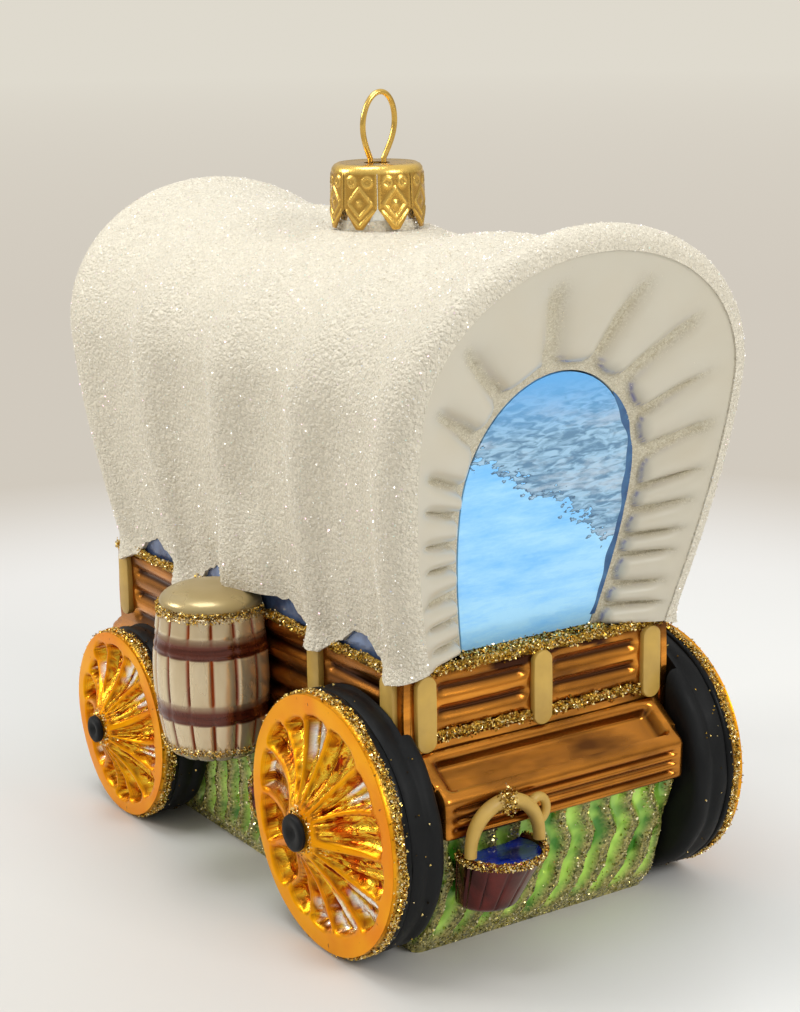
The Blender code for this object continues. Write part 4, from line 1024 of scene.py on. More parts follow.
class ORNAMENT_OT_box(bpy.types.Operator):
    """Builds the plank walls, their stakes and the glitter on their edges"""

    bl_idname = "ornament.box"
    bl_label = "Box"

    def execute(self, context):
        sizes = context.scene.ornament_sizes
        heights = np.linspace(BOX_BOTTOM, BOX_TOP, 57)
        y, z = np.meshgrid(np.linspace(-BOX_HALF_LENGTH, BOX_HALF_LENGTH, 111), heights)
        stakes = [share * BOX_HALF_LENGTH for share in SIDE_STAKES]
        depth, dark = wall_relief(
            y, z, BOX_BOTTOM, GROOVED_SIDE_PLANKS, stakes, BOX_HALF_LENGTH, sizes.plank_groove)
        for side, sign in SIDES:
            rows = np.stack([sign * (BOX_HALF_WIDTH - depth), y, z], axis=2)
            self.add_wall(f"side_{side}", rows, dark, (sign, 0, 0))
        half = BOX_HALF_WIDTH - 0.0013
        x, z = np.meshgrid(np.linspace(-half, half, 69), heights)
        stakes = [share * BOX_HALF_WIDTH for share in END_STAKES]
        depth, dark = wall_relief(x, z, END_SILL_Z, GROOVED_END_PLANKS, stakes, half, sizes.plank_groove)
        # Painted shade: a dark band along the end walls' top edge, under the window.
        shade_under_window = smooth_step(0.0, 0.0006, z - (BOX_TOP - 0.0028 + 0.0007 * np.sin(x * 260)))
        shade_under_window = shade_under_window * (1 - smooth_step(0.010, 0.016, np.abs(x - 0.002))) * 1.2
        for end, sign in ENDS:
            rows = np.stack([x, sign * (BOX_HALF_LENGTH - depth), z], axis=2)
            self.add_wall(f"end_{end}", rows, np.clip(np.maximum(dark, shade_under_window), 0, 1), (0, sign, 0))
        paint_node("bed_floor", "amber_planks")
        self.add_stakes()
        self.add_ledge()
        self.add_glitter(sizes)
        return {"FINISHED"}

    def add_wall(self, node, rows, dark, outward):
        wall = loft(f"{node}_planks", rows, {"groove": dark}, outward=outward)
        thicken(wall, 0.0012)
        finish_piece(wall, "amber_planks", "brown_lacquer", node)

    def add_ledge(self):
        """The sill between the front window, which stands back, and the front end's top edge."""
        half = BOX_HALF_WIDTH - 0.0014
        x = np.linspace(-half, half, 60)
        drops = (0.0, 0.0, 0.0001, 0.0002, 0.0002, 0.0002, 0.0001, 0.0, 0.0)
        places = np.linspace(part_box("pane_front")[0].y - 0.0004, BOX_HALF_LENGTH - 0.0006, len(drops))
        rows = [np.stack([x, np.full_like(x, y), np.full_like(x, BOX_TOP - 0.0004 - drop)], axis=1)
                for y, drop in zip(places, drops)]
        ledge = loft("front_ledge", rows, {"groove": np.full((len(drops), x.size), 0.35)}, outward=(0, 0, 1))
        thicken(ledge, 0.0004)
        finish_piece(ledge, "amber_planks", "brown_lacquer", angle=60)

    def add_stakes(self):
        clear_selection()
        bpy.ops.mesh.primitive_cylinder_add(vertices=24, radius=STAKE_WIDTH / 2, depth=STAKE_DEPTH)
        model = bpy.context.object
        stretch = (STAKE_TOP - STAKE_FOOT - STAKE_WIDTH) / 2
        for vertex in model.data.vertices:
            vertex.co.y += math.copysign(stretch, vertex.co.y) if abs(vertex.co.y) > 1e-6 else 0.0
        apply_modifier(model, "BEVEL", width=0.0004, segments=2, limit_method="ANGLE")
        middle = (STAKE_TOP + STAKE_FOOT) / 2
        half, length = BOX_HALF_WIDTH + STAKE_OFFSET, BOX_HALF_LENGTH + STAKE_OFFSET
        places = []
        for _, sign in SIDES:
            turn = Matrix(((0, 0, sign), (-sign, 0, 0), (0, 1, 0))).to_4x4()
            for share in SIDE_STAKES:
                place = (sign * half, share * BOX_HALF_LENGTH, middle)
                places.append(Matrix.Translation(place) @ turn)
        for _, sign in ENDS:
            turn = Matrix(((-sign, 0, 0), (0, 0, sign), (0, 1, 0))).to_4x4()
            for share in END_STAKES:
                place = (share * BOX_HALF_WIDTH, sign * length, middle)
                places.append(Matrix.Translation(place) @ turn)
        stakes = join_copies(model, places, "stakes")
        edit(stakes, bpy.ops.mesh.normals_make_consistent, inside=False)
        finish_piece(stakes, "tan_enamel", "brown_lacquer", angle=40)

    def add_bead(self, name, start, end, outward, width, seed):
        """A lumpy strip of glue and gold under a glitter line."""
        t = np.linspace(0, 1, 90)
        start, end = np.array(start), np.array(end)
        ragged = np.random.default_rng(seed).uniform(-0.08, 0.08, t.size)
        wobble = 0.16 * np.sin(t * 47 + seed) + 0.12 * np.sin(t * 113 + 2) + ragged
        taper = np.minimum(1, np.minimum(t, 1 - t) / 0.02) ** 0.5
        turn = np.linspace(0, math.pi, 13)
        across = np.cos(turn)[None, :] * (1 + wobble[::-1, None] * 0.8) * taper[:, None] * width / 2
        above = np.sin(turn)[None, :] * (BEAD_PROUD * taper * (1 + wobble))[:, None] - 0.0002
        middle = start + (end - start) * t[:, None]
        rows = middle[:, None, :] + np.array(outward)[None, None, :] * above[:, :, None]
        rows[:, :, 2] += across + wobble[:, None] * width * 0.25
        bead = loft(name, np.concatenate([rows, rows[:, :1]], axis=1))
        finish_piece(bead, "gold_bead", "brown_lacquer", angle=60)

    def add_glitter(self, sizes):
        rng = np.random.default_rng(31)
        half, length, top, sill = BOX_HALF_WIDTH, BOX_HALF_LENGTH, BOX_TOP, END_SILL_Z
        for end, sign in ENDS:
            y = sign * length
            self.add_bead(
                f"bead_{end}_top", *across_wagon(-half, half, y, top - 0.0004), (0, sign, 0), 0.0017, 33)
            self.add_bead(f"bead_{end}_sill", *across_wagon(*SILL_LINE, y, sill), (0, sign, 0), 0.0017, 34)
        for side, sign in SIDES:
            self.add_bead(
                f"bead_{side}_top", *along_wagon(sign * half, top - 0.0003), (sign, 0, 0), 0.0019, 35)
        points = []
        for _, sign in ENDS:
            y = sign * (length + 0.0002)
            ledge = sign * (length - 0.0018)
            edge_width = (0.0003, 0.0005, 0.0011)
            points += [
                line_points(*across_wagon(-half, half, y, top - 0.0003), edge_width, 2800, rng),
                line_points(
                    *across_wagon(-0.0150, 0.0150, ledge, top + 0.0004), (0.0003, 0.0020, 0.0003), 1500, rng,
                    waver=0.1),
                line_points(*across_wagon(*SILL_LINE, y, sill), edge_width, 2200, rng),
            ]
        for _, sign in SIDES:
            ends = along_wagon(sign * (half + 0.0002), top - 0.0001)
            points.append(line_points(*ends, (0.0005, 0.0003, 0.0010), 3900, rng))
        shards("box_glitter", np.concatenate(points), sizes.glitter, 32, "gold_glitter", "brown_lacquer")


# Feed boxes


FEED_LIP_TOP = BOX_BOTTOM + 0.0072
FEED_ROUND = 0.0012
FEED_GROOVES = (0.20, 0.50, 0.80)


def feed_box_rows(half, reach, back_top, sign):
    """Points of a feed box from its left side to its right one, and how dark they are: its grooves, and
    painted shade in the tray's recess, darkest along its edges and towards its ends.
    """
    foot, lip_top, back = BOX_BOTTOM, FEED_LIP_TOP, 0.0003
    slope = along_line([(back, back_top), (reach - 0.0009, lip_top + 0.0003)], 26)
    lip = np.array([(reach - 0.0004, lip_top - 0.0001), (reach, lip_top - 0.0008)])
    front = along_line([(reach, lip_top - 0.0012), (reach - 0.0001, foot + 0.0003)], 26)
    under = along_line([(reach - 0.0004, foot), (back, foot)], 5)
    rear = along_line([(back, foot + 0.001), (back, back_top - 0.001)], 5)
    section = np.concatenate([slope, lip, front, under, rear, slope[:1]])
    corner = np.linspace(0, FEED_ROUND, 5) - half
    x = np.concatenate([corner, np.linspace(-half + 0.0018, half - 0.0018, 73), -corner[::-1]])
    out, z = (np.tile(column, (x.size, 1)) for column in section.T)
    centre = section.mean(0)
    bend = np.clip((np.abs(x) - half + FEED_ROUND) / FEED_ROUND, 0, 1)
    round_off = 0.0009 * (1 - np.sqrt(np.clip(1 - bend ** 2, 0, 1)))
    for middle, values in zip(centre, (out, z)):
        offset = values - middle
        values -= np.sign(offset) * np.minimum(np.abs(offset), round_off[:, None])
    index = np.arange(len(section))
    run = np.where(index < 26, index / 25, -1.0)
    tray = smooth_step(0.10, 0.24, run) * (1 - smooth_step(0.80, 0.93, run)) * (run >= 0)
    inside = 1 - smooth_step(half - 0.0036, half - 0.0020, np.abs(x))
    sink = tray[None, :] * inside[:, None]
    out -= 0.0011 * sink
    z -= 0.0020 * sink
    run = np.where((index >= 28) & (index < 54), (index - 28) / 25, -1.0)
    groove = sum(bell(run, place, 0.07) for place in FEED_GROOVES) * (run >= 0)
    groove = groove[None, :] * (1 - smooth_step(half - 0.0032, half - 0.0016, np.abs(x)))[:, None]
    out -= 0.0008 * groove
    # Painted shade in the tray: dark along its sunken edges and towards its ends.
    shadow_edge = np.clip(1 - np.abs(sink * 2 - 1), 0, 1)
    shade = sink * (0.10 + 0.62 * (np.abs(x) / half)[:, None] ** 3)
    dark = np.clip(groove * 0.9 + shadow_edge * 0.9 + shade, 0, 1)
    rows = np.stack([np.repeat(x[:, None], len(section), axis=1), sign * (BOX_HALF_LENGTH + out), z], axis=2)
    return capped(rows, rows[[0, -1]].mean(1)), np.concatenate([dark[:1], dark, dark[-1:]])


class ORNAMENT_OT_feed_boxes(bpy.types.Operator):
    """Builds the feed boxes with their sunken trays"""

    bl_idname = "ornament.feed_boxes"
    bl_label = "Feed boxes"

    def execute(self, context):
        for end, sign in ENDS:
            low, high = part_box(f"feed_box_{end}")
            reach = max(abs(low.y), abs(high.y)) - BOX_HALF_LENGTH
            rows, dark = feed_box_rows(high.x, reach, high.z, sign)
            middle = (0, sign * (BOX_HALF_LENGTH + reach * 0.4), (BOX_BOTTOM + FEED_LIP_TOP) / 2)
            box = loft(f"feed_box_{end}_glass", rows, {"groove": dark}, around=middle)
            finish_piece(box, "amber_planks", "brown_lacquer", f"feed_box_{end}", angle=60)
        return {"FINISHED"}


# Wheels


SPOKES = 14
WHEEL_BAND = 0.0034
TYRE_PROFILE = (
    (0.02, -0.0090), (0.0, -0.0032), (0.01, -0.0018), (0.05, -0.0009), (0.12, -0.0004), (0.22, -0.0001),
    (0.34, 0.0), (0.45, -0.0002), (0.52, -0.0004), (0.58, -0.0003), (0.68, -0.0001), (0.82, 0.0),
    (0.94, -0.0001), (1.0, -0.0003), (1.0, -0.0012), (1.0, -0.0090), (0.02, -0.0090),
)
CLEAR_SIDE = BOX_HALF_WIDTH + STAKE_PROUD + SEAM
CLEAR_END = BOX_HALF_LENGTH + STAKE_PROUD + SEAM


class Rings:
    """Rings of points round an axis with their marks, gathered one by one for a loft."""

    def __init__(self, theta, centre, axis="z", marks=()):
        self.theta, self.centre, self.axis = theta, centre, axis
        self.rows, self.marks = [], {mark: [] for mark in marks}

    def add(self, distance, place, /, **values):
        self.rows.append(circle(self.theta, distance, self.centre, place, self.axis))
        for mark, column in self.marks.items():
            column.append(np.broadcast_to(values.get(mark, 0.0), self.theta.shape))

    def loft(self, name, **settings):
        return loft(name, self.rows, self.marks, **settings)


def turned(name, profile, theta, centre, axis="z", **settings):
    """A body turned round an axis, through pairs of a radius and a place on the axis."""
    rings = Rings(theta, centre, axis)
    for reach, place in profile:
        rings.add(reach, place)
    return rings.loft(name, **settings)


def stave_lines(theta, staves, width):
    """How far along its stave each point lies, and how near to the line between two."""
    share = (theta / FULL_TURN * staves) % 1.0
    return share, np.clip(1 - np.minimum(share, 1 - share) / width, 0, 1)


def wheel_rings(centre, radius, back, nave, hollow_depth, sign, seed):
    """A wheel from its back over the band, felloe and petal hollows to the nave."""
    theta = np.linspace(0, FULL_TURN, SPOKES * 18 + 1)
    around = theta / FULL_TURN
    face_radius, band = radius - 0.0004, WHEEL_BAND
    rng = np.random.default_rng(seed)
    curl = rng.uniform(0.5, 1.1, 3)[0]
    sway = 0.55 * np.sin(theta * 2 + seed) + 0.26 * np.sin(theta * 5 + 2 * seed)
    length = rng.uniform(-0.08, 0.025, SPOKES)
    ribs = rng.uniform(0, 1, SPOKES)
    bare = (rng.uniform(0, 1, SPOKES) < 0.42) * 1.0
    top_share = (0.16, 0.20, 0.42, 0.60, 0.78, 0.84, 1.0)
    top_rise = (nave - 0.0002, nave - 0.0006, band + 0.0016, band + 0.0004, band - 0.0002, band, band)
    floor_share = (0.16, 0.24, 0.42, 0.60, 0.80)
    floor_rise = (nave - 0.0004, nave - 0.0018, band - 0.0002, band - 0.0016, band - hollow_depth)
    rings = Rings(theta, centre, "x", ("hollow", "around", "reach", "shade", "silver", "band"))

    def add(reach, rise, share, **values):
        rings.add(reach, sign * (back + rise), around=around, reach=share, **values)

    ripple = 0.00012 * np.sin(theta * 3 + seed) + 0.00008 * np.sin(theta * 11 + seed)
    add(0.0, 0.0, 1.2)
    add(radius - 0.0002, -0.0002, 1.15)
    add(radius, 0.0002, 1.12)
    for step in np.linspace(0.0006, band - 0.0012, 7):
        reach = np.interp(step, (0, band), (radius, face_radius)) + ripple * 0.5
        add(reach, step, 1.10, band=smooth_step(0.0009, 0.0016, step))
    for step, drop, mark in ((0.0009, 0.0, 0.5), (0.0006, 0.0, 0.0), (0.0002, 0.0001, 0.0)):
        add(face_radius - drop, band - step, 1.04, band=mark)
    for share in np.concatenate([np.linspace(1.0, 0.90, 4), np.linspace(0.89, 0.16, 42)]):
        outward = np.clip((share - 0.2) / 0.65, 0, 1)
        twist = around * SPOKES + sway * (1 - outward) * 0.9 + 0.10 * np.sin(theta * 3 + seed)
        which = np.floor(twist).astype(int) % SPOKES
        phase = twist % 1.0 - 0.5
        spoke = 0.035 + 0.05 * (1 - outward)
        round_end = np.sqrt(np.clip(1 - (2 * phase / (1 - 2 * spoke * 0.8)) ** 2, 0, 1))
        outer = 0.865 + length[which] + 0.055 * round_end - 0.04
        wall = 1 - smooth_step(0.5 - spoke - 0.12, 0.5 - spoke, np.abs(phase))
        within = (1 - smooth_step(-0.026, 0.006, share - outer)) * smooth_step(0.18, 0.30, share)
        hollow = wall * within
        strand = 0.5 + 0.5 * np.cos(
            FULL_TURN * (phase * (2.4 + 1.2 * ribs[which]) + ribs[which] + curl * outward))
        top = band - 0.00006 if share >= 0.999 else np.interp(share, top_share, top_rise)
        floor = np.interp(share, floor_share, floor_rise) + 0.0007 * strand * (1 - 0.5 * outward)
        waver = 0.00006 * np.sin(theta * 5 + share * 9 + seed)
        # Painted shade along the hollows' edges and in the valleys between their strands.
        shade = 0.85 * bell(hollow, 0.35, 0.22) + 0.5 * (1 - strand) ** 2 * hollow
        clear = bare[which] * smooth_step(0.48, 0.62, share)
        clear = clear * smooth_step(0.75, 0.95, hollow) * smooth_step(0.35, 0.65, strand)
        add(face_radius * share, top - (top - floor) * hollow + waver, share, hollow=hollow,
            shade=np.clip(shade, 0, 1), silver=clear)
    add(0.0, nave - 0.0002, 0.0)
    return rings


class ORNAMENT_OT_wheels(bpy.types.Operator):
    """Builds the wheels, tyres, hubs and their glitter bands"""

    bl_idname = "ornament.wheels"
    bl_label = "Wheels"

    def execute(self, context):
        sizes = context.scene.ornament_sizes
        for side, sign in SIDES:
            for index, (end, _) in enumerate(ENDS):
                self.add_set(sizes, f"{end}_{side}", sign, 41 + index + 2 * (sign > 0))
        return {"FINISHED"}

    def add_set(self, sizes, name, sign, seed):
        low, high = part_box(f"wheel_{name}")
        centre, radius = (low + high) / 2, (high.z - low.z) / 2
        back, face = sorted((abs(low.x), abs(high.x)))
        rings = wheel_rings(centre, radius, back, face - back, sizes.spoke_hollow, sign, seed)
        wheel = rings.loft(f"wheel_{name}_glass")
        finish_piece(wheel, "amber_wheel", "amber_lacquer", f"wheel_{name}", angle=75)
        inner, outer, tyre_radius = self.add_tyre(name, centre, sign)
        hub_radius = self.add_hub(name, centre, sign)

        rng = np.random.default_rng(seed + 10)
        count = int(4500 * radius / 0.0226)
        band = ring_points(
            centre, "x", radius - 0.0002, back + 0.0009, back + WHEEL_BAND - 0.0011, count, rng, proud=0.0003)
        band[:, 0] += 0.00035 * np.sin(np.arctan2(band[:, 2] - centre.z, band[:, 1] - centre.y) * 9)
        shadow_edge = ring_points(
            centre, "x", radius - 0.0003, back + 0.0004, back + WHEEL_BAND - 0.0002, count // 9, rng,
            proud=0.0004)
        collar = ring_points(
            centre, "x", (hub_radius * 2.0, hub_radius), face - 0.0026, face, 1400, rng, proud=0.0003)
        specks = ring_points(centre, "x", tyre_radius - 0.0001, inner + 0.0018, outer, 50, rng)
        points = np.concatenate([band, shadow_edge, collar, specks]) * (sign, 1, 1)
        points = points[points[:, 2] > 0.0001]
        hidden = (np.abs(points[:, 0]) < CLEAR_SIDE) & (points[:, 2] > BOX_BOTTOM)
        shards(f"wheel_{name}_glitter", points[~hidden], sizes.glitter, seed + 20, "gold_glitter",
               "amber_lacquer")

    def add_tyre(self, name, centre, sign):
        """Two soft lobes round the wheel, cut away where the box stands."""
        low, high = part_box(f"tyre_{name}")
        inner, outer = sorted((abs(low.x), abs(high.x)))
        radius = (high.z - low.z) / 2
        theta = np.linspace(0, FULL_TURN, 121)
        rings = Rings(theta, centre, "x")
        for share, drop in TYRE_PROFILE:
            waver = 0.00016 * np.sin(theta * 4 + share * 3) + 0.00010 * np.sin(theta * 9 - share * 7)
            rings.add(radius + drop - np.abs(waver), sign * (inner + (outer - inner) * share))
        tyre = rings.loft(f"tyre_{name}_glass")
        clear_selection()
        bpy.ops.mesh.primitive_cube_add(size=1.0)
        block = bpy.context.object
        block.scale = (2 * CLEAR_SIDE, 2 * CLEAR_END, 0.05)
        block.location = (0, 0, BOX_BOTTOM - SEAM + 0.025)
        bpy.context.view_layer.update()
        apply_modifier(tyre, "BOOLEAN", object=block, operation="DIFFERENCE", solver="EXACT")
        bpy.data.objects.remove(block)
        finish_piece(tyre, "black_lacquer", "black_lacquer", f"tyre_{name}", angle=40)
        return inner, outer, radius

    def add_hub(self, name, centre, sign):
        low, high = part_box(f"hub_{name}")
        radius = (high.z - low.z) / 2
        back, face = sorted((abs(low.x), abs(high.x)))
        profile = (
            (0.0, back), (0.98, back), (1.0, back + 0.0003), (0.97, face - 0.0002), (0.86, face),
            (0.45, face - 0.0001), (0.20, face - 0.0006), (0.0, face - 0.0007))
        hub = turned(
            f"hub_{name}_glass", [(radius * reach, sign * place) for reach, place in profile],
            np.linspace(0, FULL_TURN, 49), centre, "x")
        finish_piece(hub, "black_lacquer", "black_lacquer", f"hub_{name}")
        return radius


# Barrels


BARREL_STAVES = 15
BARREL_HOOPS = (0.345, 0.80)


class ORNAMENT_OT_barrels(bpy.types.Operator):
    """Builds the two barrels with staves, hoops and domed lids"""

    bl_idname = "ornament.barrels"
    bl_label = "Barrels"

    def execute(self, context):
        sizes = context.scene.ornament_sizes
        theta = np.linspace(0, FULL_TURN, BARREL_STAVES * 9 + 1)
        for side, sign in SIDES:
            low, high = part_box(f"barrel_{side}")
            centre = (sign * (BOX_HALF_WIDTH + 0.0070), (low.y + high.y) / 2, 0)
            wall = ((sign * (BOX_HALF_WIDTH + SEAM), 0, 0), (-sign, 0, 0))
            self.add_barrel(side, theta, centre, low.z, high.z, wall)
            self.add_lid(side, theta, centre, wall)
            rng = np.random.default_rng(61 + (sign > 0))
            upper = ring_points(centre, "z", 0.0095, high.z - 0.0009, high.z + 0.0010, 1700, rng, 0.0004)
            lower = ring_points(
                centre, "z", (0.0090, 0.0094), low.z + 0.0012, low.z + 0.0026, 950, rng, 0.0004)
            points = np.concatenate([upper, lower])
            points = points[points[:, 0] * sign > BOX_HALF_WIDTH + 0.0004]
            shards(f"barrel_{side}_glitter", points, sizes.glitter * 0.9, 63 + (sign > 0), "gold_glitter",
                   "pearl")
        return {"FINISHED"}

    def add_barrel(self, side, theta, centre, foot, top, wall):
        stave_share, line = stave_lines(theta, BARREL_STAVES, 0.11)
        rings = Rings(theta, centre, marks=("stave", "hoop", "wash", "foot"))
        rings.add(0.0, foot, foot=1.0)
        for share in np.linspace(0, 1, 73):
            radius = 0.0086 + 0.0010 * share + 0.0016 * math.sin(math.pi * share)
            radius -= 0.0008 * max(0.0, 1 - share / 0.06) ** 2
            radius -= 0.0004 * max(0.0, (share - 0.97) / 0.03) ** 2
            nearest = min(((share - place) / 0.072 for place in BARREL_HOOPS), key=abs)
            band = 1 - smooth_step(0.88, 1.05, abs(nearest))
            ridge = bell(nearest, -0.55, 0.40) + 0.7 * bell(nearest, 0.45, 0.45)
            wavy = nearest + 0.10 * np.sin(theta * 3 + share * 4) + 0.06 * np.sin(theta * 8)
            hoop_lines = bell(wavy, -0.80, 0.13) + 0.9 * bell(wavy, -0.12, 0.14)
            groove = line * (1 - 0.5 * band)
            belly = 0.00035 * np.sin(math.pi * stave_share) ** 0.7 * (1 - band)
            shown = smooth_step(0.06, 0.10, share) * (1 - smooth_step(0.95, 0.98, share))
            rings.add(
                radius + 0.00032 * ridge * band - 0.00035 * groove + belly - 0.0002,
                foot + share * (top - foot),
                stave=np.clip(line * 1.4, 0, 1) * shown * (1 - 0.6 * band),
                hoop=np.clip(hoop_lines * band + 0.25 * band * (wavy < 0), 0, 1),
                wash=band * np.interp(nearest, (-1, 0.1, 1.0), (1.0, 0.8, 0.25)),
                foot=1 - smooth_step(0.05, 0.085, share))
        rings.add(0.0, top)
        barrel = rings.loft(f"barrel_{side}_staves", around=(*centre[:2], (foot + top) / 2))
        cut(barrel, *wall)
        finish_piece(barrel, "pearl_barrel", "pearl", f"barrel_{side}", angle=60)

    def add_lid(self, side, theta, centre, wall):
        low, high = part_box(f"barrel_lid_{side}")
        rim, crown = 0.0093, high.z - low.z - 0.0008
        profile = [(0.0, low.z), (rim - 0.0004, low.z), (rim, low.z + 0.0004)]
        for angle in np.radians(np.linspace(0, 90, 22)):
            reach = rim * max(0.0, math.cos(angle)) ** 0.72
            profile.append((reach, low.z + 0.0008 + crown * math.sin(angle) ** 0.95))
        lid = turned(f"barrel_lid_{side}_glass", profile, theta, centre, around=(*centre[:2], low.z + 0.001))
        cut(lid, *wall)
        finish_piece(lid, "pearl_gold", "pearl", f"barrel_lid_{side}", angle=60)


# Bucket


BUCKET_FOOT_RADIUS = 0.0053
BUCKET_HEIGHT = 0.0110
BUCKET_LEAN = 0.0045
GRASS_PLANE = ((0, -GRASS_HALF_LENGTH - 0.0002, GRASS_TOP), (0, 1, GRASS_SLOPE))


class ORNAMENT_OT_bucket(bpy.types.Operator):
    """Builds the bucket, its water and its thick bail"""

    bl_idname = "ornament.bucket"
    bl_label = "Bucket"

    def execute(self, context):
        sizes = context.scene.ornament_sizes
        low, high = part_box("bucket")
        radius = (high.x - low.x) / 2
        rim = Vector(((low.x + high.x) / 2, low.y + radius, high.z))
        theta = np.linspace(0, FULL_TURN, 131)
        self.add_bucket(theta, rim, radius)
        water = turned(
            "bucket_water_glass", [(reach, rim.z + up) for reach, up in (
                (0.0, -0.0016), (0.0061, -0.0016), (0.0066, -0.0008), (0.0060, -0.0010), (0.0045, -0.0013),
                (0.0025, -0.0012), (0.0, -0.0010))], theta, rim)
        cut(water, *GRASS_PLANE)
        finish_piece(water, "blue_water", "blue_glass", "bucket_water", angle=60)
        knot = self.add_bail(rim.x)

        rng = np.random.default_rng(71)
        band = ring_points(
            (rim.x, rim.y + 0.0002, 0), "z", (radius - 0.0003, radius), rim.z - 0.0014, rim.z - 0.0001, 1500,
            rng, proud=0.0002)
        lip = ring_points(
            rim, "z", radius - 0.0007, rim.z - 0.0001, rim.z + 0.0001, 500, rng, proud=0.0006)
        knot = rng.normal(size=(700, 3)) * (0.0007, 0.0004, 0.0009) + knot
        points = np.concatenate([band, lip])
        points = points[points[:, 1] < -(GRASS_HALF_LENGTH - (GRASS_TOP - points[:, 2]) * GRASS_SLOPE)]
        shards("bucket_glitter", np.concatenate([points, knot]), sizes.glitter * 0.9, 72, "gold_glitter",
               "maroon_lacquer")
        return {"FINISHED"}

    def add_bucket(self, theta, rim, radius):
        foot, height = BUCKET_FOOT_RADIUS, BUCKET_HEIGHT
        _, line = stave_lines(theta, 13, 0.10)
        profile = [(0.0, 0.0, 0), (foot * 0.92, 0.0, 0), (foot, 0.0004, 0)]
        for share in np.linspace(0.08, 0.93, 14):
            profile.append((foot + (radius - foot) * share, height * share, 1))
        profile += [
            (radius, height - 0.0003, 0), (radius - 0.0003, height, 0), (radius - 0.0008, height - 0.0001, 0),
            (radius - 0.0012, height - 0.0018, 0), (0.0, height - 0.0020, 0)]
        rings = Rings(theta, rim, marks=("groove",))
        for reach, up, grooved in profile:
            rings.centre = (rim.x, rim.y + BUCKET_LEAN * (1 - up / height))
            rings.add(reach - 0.00022 * line * grooved, rim.z - height + up, groove=line * grooved * 0.8)
        bucket = rings.loft("bucket_glass")
        cut(bucket, *GRASS_PLANE)
        finish_piece(bucket, "maroon_lacquer", "maroon_lacquer", "bucket", angle=60)

    def add_bail(self, middle_x):
        """The bail and the curl at its right foot. Returns the place of the glitter knot on its top."""
        low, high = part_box("bucket_bail")
        thick = (high.y - low.y) / 2
        half_span = (high.x - low.x) / 2 - thick
        y, top = (low.y + high.y) / 2, high.z - thick
        angle = np.linspace(0, math.pi, 41)
        line = np.stack([
            middle_x - half_span * np.cos(angle), np.full(angle.size, y),
            low.z + (top - low.z) * np.sin(angle) ** 0.85], axis=1)
        bail = tube("bail_bar", line, thick * (1 - 0.18 * np.cos(angle) ** 8), sides=20, flatness=0.95)
        angle = np.radians(np.linspace(150, -120, 19))
        line = np.stack([
            middle_x + 0.0067 + 0.0017 * np.cos(angle), np.full(angle.size, y + 0.0001),
            low.z + 0.0052 + 0.0021 * np.sin(angle)], axis=1)
        curl = tube("bail_curl", line, 0.0008, sides=14)
        finish_piece(bail, "tan_enamel", "tan_enamel", "bucket_bail", angle=60)
        finish_piece(curl, "tan_enamel", "tan_enamel", angle=60)
        return middle_x, low.y + 0.0003, top


# Grass and bundle


GRASS_CORNER = 0.0030
STRANDS = 68
BUNDLE_RIDGES = 1400


def grass_plan(count):
    """The grass's outline seen from above, a rectangle with round corners, and its outward directions."""
    path = []
    for quadrant, (sx, sy) in enumerate(((1, 1), (-1, 1), (-1, -1), (1, -1))):
        turn = np.linspace(0, math.pi / 2, 9) + quadrant * math.pi / 2
        path.append(np.stack([sx * (GRASS_HALF_WIDTH - GRASS_CORNER) + GRASS_CORNER * np.cos(turn),
                              sy * (GRASS_HALF_LENGTH - GRASS_CORNER) + GRASS_CORNER * np.sin(turn)], axis=1))
    plan = along_line(np.concatenate(path + [path[0][:1]]), count)
    tangent = np.gradient(plan, axis=0)
    tangent[0] = tangent[-1] = plan[1] - plan[-2]
    normal = np.stack([tangent[:, 1], -tangent[:, 0]], axis=1)
    return plan, normal / np.linalg.norm(normal, axis=1)[:, None]


def grass_rows():
    """The ring of grass from the floor up, its strands marked, closed at the middle above and below."""
    plan, normal = grass_plan(521)
    place = np.linspace(0, 1, len(plan)) * STRANDS
    jitter = np.random.default_rng(81).uniform(0, 6.28, STRANDS)[np.floor(place).astype(int) % STRANDS]
    rows, marks = [], []
    for z in np.linspace(0, GRASS_TOP, 25):
        bend = 0.30 * np.sin(z * 260 + 1.3) + 0.10 * np.sin(z * 700)
        wave = np.cos(FULL_TURN * (place + bend))
        wide = 0.05 - 0.35 * (z / GRASS_TOP)
        strand = smooth_step(-0.35, 0.25, wave + wide + 0.18 * np.sin(jitter + z * 300))
        strand = np.maximum(strand, 1 - smooth_step(0.0018, 0.0044, z + 0.0007 * np.sin(place * 2.1)))
        depth = 0.0014 * (1 - strand) + 0.0013 * (1 - smooth_step(0.0, 0.0040, z))
        lean = 1 - (GRASS_TOP - z) * GRASS_SLOPE / GRASS_HALF_LENGTH
        x, y = plan[:, 0] - normal[:, 0] * depth, plan[:, 1] * lean - normal[:, 1] * depth
        rows.append(np.stack([x, y, np.full_like(x, z)], axis=1))
        marks.append(strand)
    none = np.zeros(len(plan))
    return capped(np.array(rows), ((0, 0, 0), (0, 0, GRASS_TOP))), np.array([none, *marks, none])


